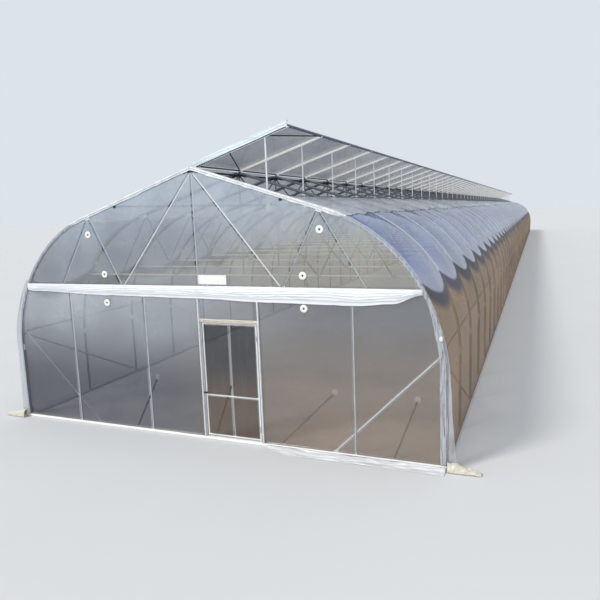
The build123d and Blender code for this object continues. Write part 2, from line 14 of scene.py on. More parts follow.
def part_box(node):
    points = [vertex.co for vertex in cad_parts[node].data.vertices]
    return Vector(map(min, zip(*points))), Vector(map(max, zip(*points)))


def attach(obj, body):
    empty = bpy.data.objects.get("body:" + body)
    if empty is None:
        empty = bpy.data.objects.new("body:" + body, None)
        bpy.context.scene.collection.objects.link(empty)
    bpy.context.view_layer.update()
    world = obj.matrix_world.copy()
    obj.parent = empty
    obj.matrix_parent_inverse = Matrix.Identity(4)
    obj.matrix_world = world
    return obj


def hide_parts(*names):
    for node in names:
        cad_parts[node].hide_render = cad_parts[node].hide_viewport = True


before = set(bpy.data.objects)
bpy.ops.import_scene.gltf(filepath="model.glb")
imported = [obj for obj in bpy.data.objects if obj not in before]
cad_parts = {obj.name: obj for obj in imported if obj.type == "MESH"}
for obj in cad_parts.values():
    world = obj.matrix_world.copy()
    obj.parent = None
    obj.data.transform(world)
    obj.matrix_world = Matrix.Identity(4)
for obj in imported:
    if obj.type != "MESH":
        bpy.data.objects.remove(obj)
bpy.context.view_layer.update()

bl_info = {
    "name": "Polytunnel greenhouse looks",
    "version": (1, 0, 0),
    "blender": (4, 5, 0),
    "location": "3D View > Sidebar > Greenhouse",
    "description": "Builds the film, tubes, vent gear and finishes of a polytunnel greenhouse",
    "category": "Object",
}

# Sizes read from the CAD part
leg_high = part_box("leg_tubes")[1]
side_brace_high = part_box("side_braces")[1]
rail_low, rail_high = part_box("ground_rails")
sill_low, sill_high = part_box("gable_sills")
tie_low, tie_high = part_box("truss_ties")
ridge_low, ridge_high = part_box("ridge_purlin")
purlin_low, purlin_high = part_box("slope_purlins")
plate_low, plate_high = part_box("blank_plate")
door_low, door_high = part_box("door_frame")
header_low, header_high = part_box("door_header")
latch_low, latch_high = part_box("door_latch")
vent_low, vent_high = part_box("vent_long_tubes")
rack_low, rack_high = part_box("vent_racks")
shaft_low, shaft_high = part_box("vent_shaft")

# The arch, as the CAD part has it
arch_r = 0.003
half_width = leg_high.x - arch_r
length = leg_high.y - arch_r
spring_z = leg_high.z
haunch_radius = 0.31
haunch_centre_x = half_width - haunch_radius
roof_slope = radians(18.0)
haunch_sweep = pi / 2 - roof_slope
shoulder_x = haunch_centre_x + haunch_radius * cos(haunch_sweep)
shoulder_z = spring_z + haunch_radius * sin(haunch_sweep)
apex_z = shoulder_z + shoulder_x * tan(roof_slope)
haunch_length = haunch_radius * haunch_sweep
haunch_top = spring_z + haunch_length
bay = 0.2
bay_count = round(length / bay)
arch_places = [bay * k for k in range(bay_count + 1)]
gable_places = [0.0, length]

# Tubes and gaps
tie_r = post_r = purlin_r = 0.002
web_r = brace_r = leaf_r = 0.0016
web_head_x = 0.2658
web_foot_places = (0.1858, 0.3538)
web_spread = 0.0025
post_places = (-0.333, -0.135, 0.0, 0.131, 0.324)
door_post_x = post_places[3]
gable_brace_z = 0.207
gable_brace_foot_x = 0.283
tie_z = (tie_low.z + tie_high.z) / 2
ridge_z = (ridge_low.z + ridge_high.z) / 2
leaf_left, leaf_right = door_low.x + leaf_r, door_high.x - leaf_r
leaf_bottom, leaf_top = door_low.z + leaf_r, door_high.z - leaf_r
leaf_middle = (leaf_left + leaf_right) / 2
leaf_mid_z = 0.095
film_gap = film_thickness = 0.0003
gable_y = -0.0037
trim_y = -0.0044
lap_z = 0.462
sill_top = sill_high.z
rafter_shift = 0.006
narrowest_sheet = 0.0101
forward = (0, -1, 0)


def length_property(label, about, default, most):
    """Setting for a length in metres."""
    return bpy.props.FloatProperty(name=label, description=about, default=default, min=0.0, max=most,
                                   subtype="DISTANCE", unit="LENGTH")


def count_property(label, about, default, least, most):
    """Setting for a whole number."""
    return bpy.props.IntProperty(name=label, description=about, default=default, min=least, max=most)


class GreenhouseSizes(bpy.types.PropertyGroup):
    """Sizes of the soft parts that the CAD part leaves plain."""
    side_bulge: length_property(
        "Side film bulge", "How far the side film stands out between two arches", 0.0050, 0.012)
    roof_bulge: length_property(
        "Roof film bulge", "How far the roof film stands out between two arches", 0.0030, 0.012)
    crumple: length_property(
        "Crumple height", "Height of the creases in the loose film on the ground", 0.0045, 0.01)
    roll_folds: count_property(
        "Folds in the film roll", "Folds across the depth of the bunched film", 6, 2, 12)
    tube_sides: count_property("Sides of a tube", "Flat sides that make up a round tube", 10, 6, 24)


def hex_linear(text):
    """Linear colour of an sRGB hex value such as #a0b1c2."""
    parts = [int(text[i:i + 2], 16) / 255 for i in (1, 3, 5)]
    return tuple(p / 12.92 if p <= 0.04045 else ((p + 0.055) / 1.055) ** 2.4 for p in parts)


def colour_property(label, about, text):
    """Setting for a colour, whose default is a hex value."""
    return bpy.props.FloatVectorProperty(name=label, description=about, default=hex_linear(text),
                                         min=0.0, max=1.0, size=3, subtype="COLOR")


class GreenhouseColours(bpy.types.PropertyGroup):
    """Base colours of the finishes; some of them hold painted reflection, highlight, light or shade."""
    # Painted reflection: the blue of the side film high up is the sky reflected in it.
    side_film: colour_property("Side film", "Painted sky reflection on the film over the arches", "#788cb9")
    # Painted reflection: the brown low on the right side film is sunlit soil reflected in it, with some dust.
    side_film_low: colour_property("Right film low down", "Painted reflection of sunlit soil, with dust, along the right legs", "#a58b71")
    # Painted light: the left side film is paler low down for sunlight that comes through it.
    left_film_low: colour_property("Left film low down", "Pale tint along the left legs, painted light let through the film", "#b9b9bd")
    crest_film: colour_property("Roof film", "Single film above the lap line", "#c9cfd7")
    # Painted reflections: a dark band of skyline under the sky tint, and pale cloud just above it.
    side_film_shore: colour_property("Side film at the change", "Painted reflection of a dark skyline under the sky one", "#5c5c63")
    side_film_cloud: colour_property("Side film above the change", "Painted reflection of pale cloud over the dark one", "#b9b6c8")
    # Painted highlight: paler lines where the film lies on each arch tube.
    film_line: colour_property("Film on an arch", "Film where it lies on a tube, with a painted highlight", "#cdd6ec")
    gable_film: colour_property("Gable film", "Upper gable film", "#b8c4d0")
    gable_film_low: colour_property("Gable film above the tie", "Its tint lower down", "#989ea2")
    # Painted light: the warm tint on the right above the tie stands in for sunlit ties and film seen through.
    gable_film_warm: colour_property("Gable film on the right", "Its warm tint above the tie, painted sunlight on the inside", "#a09d94")
    lower_film: colour_property("Lower gable film", "Its tint high on the left", "#bcc3cb")
    lower_film_right: colour_property("Lower gable film, right", "Its tint high on the right", "#696e74")
    # Painted shade: near-black low on the lower gable for the dark inside seen through the film.
    soil_film: colour_property("Dusty gable film", "Its tint near the ground", "#2e3142")
    # Painted light: warm brown low on the right for the sunlit soil seen through the film.
    warm_film: colour_property("Splashed gable film", "Its tint near the ground, right", "#867361")
    # Painted shade: the door film is dark for the shaded inside, and brown low down for the soil seen through
    # it.
    door_film_low: colour_property("Door film low down", "Painted shade and soil seen through the door", "#584432")
    door_film: colour_property("Door film", "The door's film at its top, dark as painted shade", "#222329")
    # Painted shade: the flap film is dark from below and pale from above, one film lit and shaded.
    vent_film: colour_property("Vent film", "Film of the open flap from below, in painted shade", "#474c64")
    vent_film_top: colour_property("Vent film from above", "Its sunlit side", "#b3b9c6")
    flap_film: colour_property("Loose edge film", "Film that stands out beside the legs", "#c6cad3")
    leg_film: colour_property("Film on a leg", "Film folded round the legs and the bends", "#ccd0d8")
    end_film: colour_property("Vent end film", "Film folded over the ends of the flap", "#d8e7ec")
    white_film: colour_property("White film", "Many layers of gathered film", "#eff2f6")
    cream_film: colour_property("Cream film", "Loose dirty film on the ground", "#dcd6c4")
    zinc: colour_property("Galvanised steel", "Hot-dip galvanised tube", "#c3c9ce")
    # Painted light: gable bars made lighter, as if sunlit, than the same zinc inside.
    bright_zinc: colour_property("Sunlit steel", "Galvanised bars of the gables, lighter as painted sunlight", "#f0f2f4")
    # Painted light: the racks are a lighter zinc so that they read as sunlit.
    rack_zinc: colour_property("Rack steel", "Toothed racks of the vent", "#dde1e5")
    # Partly weathered zinc, partly painted shade: darker for arches and bars in the shade inside.
    dull_shaded_zinc: colour_property("Weathered, shaded steel", "Galvanised tube gone dull, darker as painted shade", "#697076")
    # Painted shade: near-black for tubes and clamps seen against the bright film.
    dark_zinc: colour_property("Dark steel", "Clamps and tubes against the light", "#26292c")
    warm_zinc: colour_property("Creamy steel", "Ties in the evening light", "#fff4d8")
    white_paint: colour_property("White paint", "White painted steel", "#f8f8f5")
    paint_dirt: colour_property("Paint dirt", "Run-off streaks on the paint", "#8f8d86")
    blue_steel: colour_property("Blue steel", "Dark tube at the edge of the flap", "#4c5a72")
    white_plastic: colour_property("White plastic", "Moulded washers and the bare plate", "#f3f3f0")
    black_plastic: colour_property("Black plastic", "Latch and rubber plugs", "#1b1b1d")


# Materials

smooth = {"interpolation_type": "SMOOTHSTEP"}
blend = {"data_type": "RGBA"}
even = (1.0, 1.0, 1.0)
across_folds = (0.12, 1.0, 1.0)


def add_node(tree, kind, sockets, output=None, **settings):
    """Add a node with its settings, its sockets set or linked, and give its named or first output."""
    node = tree.nodes.new("ShaderNode" + kind)
    for name, value in settings.items():
        setattr(node, name, value)
    for name, value in sockets.items():
        if isinstance(value, bpy.types.NodeSocket):
            tree.links.new(value, node.inputs[name])
        else:
            node.inputs[name].default_value = value
    return next((item for item in node.outputs if item.enabled and output in (None, item.name)), None)


def start_material(name):
    """New material with an empty tree, add_node on that tree, and the surface coordinates."""
    material = bpy.data.materials.new(name)
    material.use_nodes = True
    material.node_tree.nodes.clear()
    add = partial(add_node, material.node_tree)
    return material, add, add("TexCoord", {}, "Object")


def end_material(material, add, sockets):
    """Principled surface with these sockets, joined to the output."""
    add("OutputMaterial", {"Surface": add("BsdfPrincipled", sockets)})
    return material


def shade(colour, factor=1.0):
    """The colour made darker or lighter, as the four numbers that a socket takes."""
    return (*[min(1.0, c * factor) for c in colour], 1.0)


def span(low, high, start=0.0, end=1.0):
    """The ranges of a Map Range node, which takes low..high to start..end."""
    return {"From Min": low, "From Max": high, "To Min": start, "To Max": end}


def film_material(name, tints, heights, haze, streak, cell, scallop=0.0, contact=0.0, shore=None,
                  crest=None, passes=0.0, mirror=(0.6, 0.6, 0.6), clear=()):
    """Polyethylene film, blown and stretched: milky where it is slack or dusty, glossy all over.

    tints are its colours near the ground, left and right, and high up, left and right; heights are
    where the change starts and ends. On the side film they are painted reflections, of the sky high
    up and of sunlit soil low on the right, with some dust, and low on the left a paler tint painted
    for light let through. On the lower gable and the door they are painted shade of the dark inside
    and of the soil seen through, with some dust on the lower gable, and on the upper gable the warm
    right one is painted sunlight on what lies behind. haze is how much of the film shows on each
    face, from its clearest to its milkiest place, low and then high. streak stretches its marks along
    X, Y and Z, and cell is the size of a mark in metres. scallop is how far the high tint, the painted
    sky reflection, hangs lower between two arches, and contact how much paler the film is where it
    lies on one, a painted highlight along each arch. shore is a painted reflection of a dark skyline
    just under the change, with a painted reflection of pale cloud above it. crest is the tint of the
    single film above its wavy lap line at the shoulders.
    passes is the share of the light on a milky place that goes on through it, scattered. mirror
    is the gloss of the film, and of its smooth skin low down, where dust dulls it, and high up.
    clear lists lines across the gable, as pairs of (x, z) points with a half width, where the
    film is stretched over a bar and nothing hides the bar.
    """
    colours = bpy.context.scene.greenhouse_colours
    material, add, coords = start_material(name)
    place = add("Mapping", {"Vector": coords, "Scale": streak})
    marks = add("TexNoise", {"Vector": place, "Scale": 1 / cell, "Detail": 5.0, "Roughness": 0.55})
    x, y, z = add("SeparateXYZ", {"Vector": coords}).node.outputs
    bays = add("Math", {0: y, 1: bay}, operation="DIVIDE")
    phase = add("Math", {0: bays, 1: 0.5}, operation="PINGPONG")
    other = add("Math", {0: 1.0, 1: phase}, operation="SUBTRACT")
    round_off = add("Math", {0: phase, 1: other}, operation="MULTIPLY")
    # The scallop drops the painted sky reflection lower between the arches.
    height = add("Math", {0: round_off, 1: 4 * scallop, 2: z}, operation="MULTIPLY_ADD")
    rise = add("MapRange", {"Value": height, **span(*heights)}, **smooth)
    across = add("MapRange", {"Value": x, **span(-0.14, 0.27)}, **smooth)
    foot, head = (add("Mix", {"Factor": across, "A": shade(left), "B": shade(right)}, **blend)
                  for left, right in (tints[:2], tints[2:]))
    if crest:
        wave = add("TexNoise", {"W": y, "Scale": 14.0, "Detail": 2.0}, noise_dimensions="1D")
        lap = add("Math", {0: wave, 1: 0.016, 2: z}, operation="MULTIPLY_ADD")
        single = add("MapRange", {"Value": lap, **span(lap_z, lap_z + 0.0012)}, **smooth)
        head = add("Mix", {"Factor": single, "A": head, "B": shade(crest)}, **blend)
        off = add("Math", {0: lap, 1: lap_z}, operation="SUBTRACT")
        off = add("Math", {0: off}, operation="ABSOLUTE")
        seam = add("MapRange", {"Value": off, **span(0.0003, 0.0013, 0.30, 1.0)}, **smooth)
        head = add("VectorMath", {0: head, "Scale": seam}, operation="SCALE")
    # Painted reflections: a dark skyline band under the change, pale cloud above it.
    if shore:
        under = add("MapRange", {"Value": height, **span(heights[0] - 0.036, heights[0] - 0.014)}, **smooth)
        cloud = add("MapRange", {"Value": height, **span(heights[1], heights[1] + 0.045, 0.55, 0.0)}, **smooth)
        head = add("Mix", {"Factor": cloud, "A": head, "B": shade(colours.side_film_cloud)}, **blend)
        foot = add("Mix", {"Factor": under, "A": foot, "B": shade(shore)}, **blend)
    graded = add("Mix", {"Factor": rise, "A": foot, "B": head}, **blend)
    mottle = add("MapRange", {"Value": marks, **span(0.3, 0.7, 0.78, 1.25)})
    colour = add("VectorMath", {0: graded, "Scale": mottle}, operation="SCALE")
    thin, thick = (add("MapRange", {"Value": marks, **span(0.32, 0.70, *ends)}) for ends in haze)
    cover = add("Mix", {"Factor": rise, "A": thin, "B": thick}, data_type="FLOAT")
    if shore:
        outside = add("Math", {0: 1.0, 1: rise}, operation="SUBTRACT")
        strip = add("Math", {0: under, 1: outside}, operation="MULTIPLY")
        cover = add("Math", {0: strip, 1: 0.38, 2: cover}, operation="MULTIPLY_ADD", use_clamp=True)
    # Painted highlight: paler, denser film where it lies on each arch.
    if contact:
        near = add("MapRange", {"Value": phase, **span(0.008, 0.034, contact, 0.0)}, **smooth)
        line = add("Math", {0: near, 1: rise}, operation="MULTIPLY")
        cover = add("Math", {0: cover, 1: line}, operation="ADD", use_clamp=True)
        colour = add("Mix", {"Factor": line, "A": colour, "B": shade(colours.film_line)}, **blend)
    for start, end, half in clear:
        along = Vector((end[0] - start[0], 0, end[1] - start[1])).normalized()
        square = Vector((-along.z, 0, along.x))
        away = add("VectorMath", {0: coords, 1: square}, operation="DOT_PRODUCT")
        gap = add("Math", {0: away, 1: square.dot(Vector((start[0], 0, start[1])))}, operation="SUBTRACT")
        gap = add("Math", {0: gap}, operation="ABSOLUTE")
        shown = add("MapRange", {"Value": gap, **span(half, half + 0.0012, 0.10, 1.0)}, **smooth)
        cover = add("Math", {0: cover, 1: shown}, operation="MULTIPLY")
    if passes:
        shadow = add("LightPath", {}, "Is Shadow Ray")
        stopped = add("Math", {0: shadow, 1: -passes, 2: 1.0}, operation="MULTIPLY_ADD")
        cover = add("Math", {0: cover, 1: stopped}, operation="MULTIPLY")
    crease = add("TexNoise", {"Vector": place, "Scale": 4.5 / cell, "Detail": 3.0, "Distortion": 0.6})
    bump = add("Bump", {"Height": crease, "Strength": 0.35, "Distance": 0.0012})
    gloss = add("MapRange", {"Value": crease, **span(0.3, 0.7, 0.14, 0.28)})
    skin = mirror[1]
    if mirror[1] != mirror[2]:
        skin = add("MapRange", {"Value": rise, **span(0.0, 1.0, *mirror[1:])})
    if crest:
        worn = add("Math", {0: single, 1: -0.5, 2: seam}, operation="MULTIPLY_ADD")
        skin = add("Math", {0: skin, 1: worn}, operation="MULTIPLY", use_clamp=True)
    return end_material(material, add, {
        "Base Color": colour, "Roughness": gloss, "IOR": 1.5, "Specular IOR Level": mirror[0],
        "Coat Weight": skin, "Coat Roughness": 0.03, "Alpha": cover, "Normal": bump})


def gathered_film_material(name, colour, alpha, streak, fold):
    """Film gathered in many layers: it turns white, with long creases, painted shade in them, and a soft gloss.
    """
    material, add, coords = start_material(name)
    place = add("Mapping", {"Vector": coords, "Scale": streak})
    layers = add("TexNoise", {"Vector": place, "Scale": 1 / fold, "Detail": 5.0, "Distortion": 0.8})
    # Darker where the crease noise is low: partly thinner layers, partly painted shade in the creases.
    tint = add("Mix", {"Factor": layers, "A": shade(colour, 0.84), "B": shade(colour, 1.1)}, **blend)
    amount = add("MapRange", {"Value": layers, **span(0.3, 0.6, *alpha)})
    bump = add("Bump", {"Height": layers, "Strength": 0.7, "Distance": 0.002})
    return end_material(material, add, {
        "Base Color": tint, "Roughness": 0.32, "IOR": 1.5, "Coat Weight": 0.3, "Coat Roughness": 0.12,
        "Alpha": amount, "Normal": bump})


def zinc_material(name, colour, metallic, rough):
    """Hot-dip galvanised tube: a grey zinc skin whose crystals catch the light unevenly.

    Real crystals are 5 to 10 mm, 1 mm at this scale; they are drawn at 4 mm so that they show.
    """
    material, add, coords = start_material(name)
    spangle = add("TexVoronoi", {"Vector": coords, "Scale": 250.0})
    dull = add("TexNoise", {"Vector": coords, "Scale": 22.0, "Detail": 4.0})
    mixed = add("Math", {0: spangle, 1: 0.35, 2: dull}, operation="MULTIPLY_ADD")
    tint = add("Mix", {"Factor": mixed, "A": shade(colour, 0.80), "B": shade(colour, 1.15)}, **blend)
    gloss = add("MapRange", {"Value": mixed, **span(0.0, 1.0, rough, rough + 0.2)})
    bump = add("Bump", {"Height": spangle, "Strength": 0.08, "Distance": 0.0003})
    return end_material(material, add, {
        "Base Color": tint, "Metallic": metallic, "Roughness": gloss, "Normal": bump})


def paint_material(name, colour, stain, dirt):
    """White gloss paint on steel, gone chalky, with grey run-off streaks."""
    material, add, coords = start_material(name)
    place = add("Mapping", {"Vector": coords, "Scale": (1.0, 1.0, 0.25)})
    runs = add("TexNoise", {"Vector": place, "Scale": 60.0, "Detail": 5.0, "Roughness": 0.6})
    amount = add("MapRange", {"Value": runs, **span(0.45, 0.75, 0.0, dirt)})
    tint = add("Mix", {"Factor": amount, "A": shade(colour), "B": shade(stain)}, **blend)
    bump = add("Bump", {"Height": runs, "Strength": 0.15, "Distance": 0.0004})
    return end_material(material, add, {
        "Base Color": tint, "Roughness": 0.42, "IOR": 1.5, "Normal": bump})


def plastic_material(name, colour, grain):
    """Injection-moulded polypropylene: even colour with a faint moulded grain and dust."""
    material, add, coords = start_material(name)
    speck = add("TexNoise", {"Vector": coords, "Scale": 1 / grain, "Detail": 3.0})
    tint = add("Mix", {"Factor": speck, "A": shade(colour, 0.88), "B": shade(colour, 1.06)}, **blend)
    bump = add("Bump", {"Height": speck, "Strength": 0.12, "Distance": 0.0003})
    return end_material(material, add, {
        "Base Color": tint, "Roughness": 0.45, "IOR": 1.49, "Normal": bump})


def studio_material(name, text):
    """Matt studio floor paper, with the faintest mottle."""
    material, add, coords = start_material(name)
    colour = hex_linear(text)
    mottle = add("TexNoise", {"Vector": coords, "Scale": 3.0, "Detail": 2.0})
    tint = add("Mix", {"Factor": mottle, "A": shade(colour, 0.98), "B": shade(colour, 1.02)}, **blend)
    return end_material(material, add, {"Base Color": tint, "Roughness": 0.9, "Specular IOR Level": 0.1})


def web_bars(side=1):
    """Ends of the two short web bars of a truss half: on the tie, and under the bracket."""
    drop = arch_r + 0.0025
    bars = []
    for foot_x, lean in zip(web_foot_places, (-1, 1)):
        x = web_head_x - drop * sin(roof_slope) + lean * web_spread
        foot = Vector((side * (foot_x - lean * web_spread), 0, tie_z))
        bars.append((foot, Vector((side * x, 0, slope_z(x) - drop / cos(roof_slope)))))
    return bars


def web_lines():
    """Lines along which the upper gable film lies on the front truss, with their half widths."""
    half = web_r + 0.0006
    lines = [((0.0, tie_z), (0.0, ridge_z), half)]
    for side in (-1, 1):
        lines.append(((side * (web_foot_places[0] - web_spread), tie_z), (0.0, ridge_z), half))
        lines += [((foot.x, foot.z), (head.x, head.z), half) for foot, head in web_bars(side)]
    return lines


def post_lines():
    """Lines along which the lower gable film lies on posts, legs and the brace, with half widths."""
    lines = [((x, sill_top), (x, tie_z), post_r + 0.0008) for x in post_places]
    lines += [((x, sill_top), (x, tie_z), arch_r + 0.0008) for x in (-half_width, half_width)]
    head = (arch_half(gable_brace_z) - arch_r / 2, gable_brace_z)
    return lines + [((gable_brace_foot_x, sill_top), head, brace_r + 0.0016)]


def leaf_lines():
    """Lines along which the door's film lies on its frame, with their half widths."""
    half = leaf_r + 0.0006
    lines = [((x, 0.0), (x, 1.0), wide)
             for x, wide in ((leaf_left, half), (leaf_right, half), (leaf_middle, 0.0026))]
    return lines + [((leaf_left, z), (leaf_right, z), half) for z in (leaf_bottom, leaf_mid_z, leaf_top)]


finishes = {}
for slot, films in (("clear_film", ("side_film", "gable_film", "lower_film", "door_film", "vent_film_top")),
                    ("white_film", ("white_film", "band_film", "flap_film", "vent_band_film")),
                    ("cream_film", ("skirt_film", "cream_film"))):
    dict.fromkeys(films, slot)


def make_finishes(colours):
    """Every finish, under the name that the pieces ask for."""
    # Low tints of the lower gable: painted shade of the inside, and sunlit soil seen through, with some dust.
    lower = (colours.soil_film, colours.warm_film, colours.lower_film, colours.lower_film_right)
    finishes.update(
        # The side film's tints hold painted reflections of sky, skyline, cloud and soil, and painted highlights
        # on the arches.
        side_film=film_material(
            "blown_polyethylene_side",
            (colours.left_film_low, colours.side_film_low, colours.side_film, colours.side_film),
            (0.331, 0.339), ((0.48, 0.60), (0.50, 0.64)), (1.0, 0.35, 1.0), 0.12, scallop=0.030, contact=0.75,
            shore=colours.side_film_shore, crest=colours.crest_film, passes=0.45, mirror=(0.0, 0.18, 1.0)),
        gable_film=film_material(
            "blown_polyethylene_gable",
            (colours.gable_film_low, colours.gable_film_warm, colours.gable_film, colours.gable_film),
            (0.36, 0.50), ((0.34, 0.46), (0.36, 0.50)), even, 0.16, passes=0.4, clear=web_lines()),
        lower_film=film_material(
            "dusty_polyethylene_gable", lower, (0.10, 0.32), ((0.36, 0.48), (0.38, 0.50)),
            (0.8, 1.0, 1.4), 0.14, passes=0.4, clear=post_lines()),
        # The door's tints are painted shade of the inside and of the soil behind.
        door_film=film_material(
            "dusty_polyethylene_door", (colours.door_film_low,) * 2 + (colours.door_film,) * 2,
            (0.08, 0.18), ((0.52, 0.64), (0.56, 0.68)), (3.0, 1.0, 0.5), 0.05, clear=leaf_lines()),
        # The flap's underside is painted shade, its top painted sunlight.
        vent_film=film_material(
            "weathered_polyethylene_vent", (colours.vent_film,) * 4, (0.0, 1.0),
            ((0.50, 0.60), (0.50, 0.60)), (1.0, 0.5, 1.0), 0.10, passes=0.85, mirror=(0.1, 0.2, 0.2)),
        vent_film_top=film_material(
            "sunlit_polyethylene_vent", (colours.vent_film_top,) * 4, (0.0, 1.0),
            ((0.40, 0.54), (0.40, 0.54)), (1.0, 0.5, 1.0), 0.10, passes=0.85),
        white_paint=paint_material("chalky_white_paint", colours.white_paint, colours.paint_dirt, 0.15),
        white_plastic=plastic_material("moulded_polypropylene_white", colours.white_plastic, 0.004),
        black_plastic=plastic_material("moulded_polypropylene_black", colours.black_plastic, 0.002))
    for name, label, colour, alpha, streak, fold in (
            ("flap_film", "loose_polyethylene_flap", colours.flap_film, (0.26, 0.68), (1.0, 1.0, 0.12), 0.010),
            ("leg_band_film", "folded_polyethylene_leg", colours.leg_film, (0.08, 0.62), (1.0, 1.0, 0.10),
             0.005),
            ("skirt_film", "laid_polyethylene_skirt", colours.white_film, (0.86, 1.0), across_folds, 0.006),
            ("white_film", "gathered_polyethylene_white", colours.white_film, (0.94, 1.0), across_folds, 0.006),
            ("band_film", "folded_polyethylene_band", colours.white_film, (0.72, 0.98), even, 0.010),
            ("vent_band_film", "folded_polyethylene_vent_end", colours.end_film, (0.93, 1.0),
             (0.3, 1.0, 1.0), 0.012),
            ("cream_film", "dirty_polyethylene_loose", colours.cream_film, (0.88, 1.0), even, 0.008)):
        finishes[name] = gathered_film_material(label, colour, alpha, streak, fold)
    # The sunlit, rack and warm steels are lighter as painted sunlight, the weathered and dark steels darker as
    # painted shade.
    for name, label, metallic, rough in (
            ("zinc", "galvanised_tube", 0.55, 0.34), ("bright_zinc", "new_galvanised_tube", 0.2, 0.34),
            ("rack_zinc", "galvanised_rack", 0.3, 0.36), ("warm_zinc", "sunlit_galvanised_tube", 0.2, 0.4),
            ("dull_shaded_zinc", "weathered_galvanised_bar", 0.55, 0.42),
            ("dark_zinc", "dark_galvanised_clamp", 0.4, 0.5), ("blue_steel", "blued_steel_tube", 0.5, 0.4)):
        finishes[name] = zinc_material(label, getattr(colours, name), metallic, rough)


# Making and placing pieces

def make_piece(name, bm, material, nodes=(), both=False, places=(0.0,), body="building", slot=None,
               sharp=40, second=None):
    """Object from a bmesh, smooth but for its sharp edges, that rides on a body and has a finish.

    both adds the mirror image, and places repeats it along the tunnel. nodes are the CAD nodes
    that it stands for. second is another finish and the test of a face's middle that tells which
    faces take it.
    """
    if both:
        mirrored(bm)
    repeat(bm, places)
    if second:
        for face in bm.faces:
            face.material_index = int(second[1](face.calc_center_median()))
    mesh = bpy.data.meshes.new(name)
    bm.to_mesh(mesh)
    bm.free()
    mesh.shade_smooth()
    mesh.set_sharp_from_angle(angle=radians(sharp))
    for finish in [material] + ([second[0]] if second else []):
        mesh.materials.append(finishes[finish])
    piece = bpy.data.objects.new(name, mesh)
    bpy.context.scene.collection.objects.link(piece)
    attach(piece, body)
    if nodes:
        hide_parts(*nodes)
    return piece


def make_sheet(name, bm, way, material, flat, held, rests_on, nodes=(), thick=film_thickness, area=None,
               **looks):
    """Sheet of film whose faces look along way, thickened half to each side; flat, its flat size, is not used.
    """
    look_along(bm, way)
    piece = make_piece(name, bm, material, nodes, **looks)
    solid = piece.modifiers.new("Thickness", "SOLIDIFY")
    solid.thickness = thick
    solid.offset = 0.0
    return piece


def flat_size(bm, long):
    """Flat size of a folded strip: its length, and its width from the area of its faces."""
    return round(long, 3), round(max(narrowest_sheet, face_area(bm) / long), 4)


def face_area(bm):
    """Area of all the faces."""
    return sum(face.calc_area() for face in bm.faces)


def behind_front(middle):
    """Whether a face's middle is behind the front gable."""
    return middle.y > bay / 2


def below_roof(middle):
    """Whether a face's middle is lower than the straight slopes."""
    return middle.z < shoulder_z - 0.012


def tube(bm, start, end, radius, sides=None):
    """Round bar between two points, with flat ends."""
    start, end = Vector(start), Vector(end)
    sides = sides or bpy.context.scene.greenhouse_sizes.tube_sides
    place = Matrix.Translation((start + end) / 2) @ turn_to(end - start)
    bmesh.ops.create_cone(bm, cap_ends=True, segments=sides, radius1=radius, radius2=radius,
                          depth=(end - start).length, matrix=place)


def pairs(points):
    """Each point with the next one."""
    return list(zip(points, points[1:]))


def tube_piece(name, ends, radius, material, nodes=(), sides=None, **looks):
    """Piece made of round bars, each between a pair of points."""
    bm = bmesh.new()
    for start, end in ends:
        tube(bm, start, end, radius, sides)
    make_piece(name, bm, material, nodes, **looks)


def bent_tube(bm, points, radius):
    """Round bar through a list of points, with a ball at each turn."""
    for start, end in pairs(points):
        tube(bm, start, end, radius, 8)
    for point in points[1:-1]:
        bmesh.ops.create_icosphere(bm, subdivisions=1, radius=radius, matrix=Matrix.Translation(point))


def turn_to(way):
    """Turn that takes Z to this direction."""
    return Vector(way).to_track_quat("Z", "Y").to_matrix().to_4x4()


def bar(bm, low, high, soft=0.0, turn=None):
    """Block between two corners, its edges rounded by soft, turned by a matrix if one is given."""
    low, high = Vector(low), Vector(high)
    place = Matrix.Translation((low + high) / 2) @ Matrix.Diagonal((*(high - low), 1.0))
    verts = bmesh.ops.create_cube(bm, size=1.0, matrix=place)["verts"]
    if soft:
        edges = list({edge for vert in verts for edge in vert.link_edges})
        made = bmesh.ops.bevel(bm, geom=edges, offset=soft, offset_type="OFFSET", segments=1,
                               profile=0.5, affect="EDGES", material=-1)
        verts = list({vert for face in made["faces"] for vert in face.verts})
    if turn is not None:
        bmesh.ops.transform(bm, matrix=turn, verts=verts)


def bolts(bm, points, radius=0.0011, height=0.0009, way=forward):
    """Hexagon bolt heads that stand on these points and look along way."""
    way = Vector(way).normalized()
    for point in map(Vector, points):
        tube(bm, point, point + way * height, radius, 6)
        tube(bm, point, point + way * height * 1.9, radius * 0.45, 6)


def whole(bm):
    """All that the bmesh holds."""
    return bm.verts[:] + bm.edges[:] + bm.faces[:]


def only(kind, made):
    """The vertices or the faces in what a bmesh operator gives back."""
    return [item for item in made if isinstance(item, kind)]


def repeat(bm, places):
    """Copies of all that the bmesh holds along the tunnel; the first place is where it is now."""
    first = whole(bm)
    for y in places[1:]:
        made = bmesh.ops.duplicate(bm, geom=first)["geom"]
        bmesh.ops.translate(bm, verts=only(bmesh.types.BMVert, made), vec=(0, y - places[0], 0))


def mirrored(bm):
    """Add the mirror image, across the middle of the gable, of all that the bmesh holds."""
    made = bmesh.ops.duplicate(bm, geom=whole(bm))["geom"]
    bmesh.ops.scale(bm, verts=only(bmesh.types.BMVert, made), vec=(-1, 1, 1))
    bmesh.ops.reverse_faces(bm, faces=only(bmesh.types.BMFace, made))


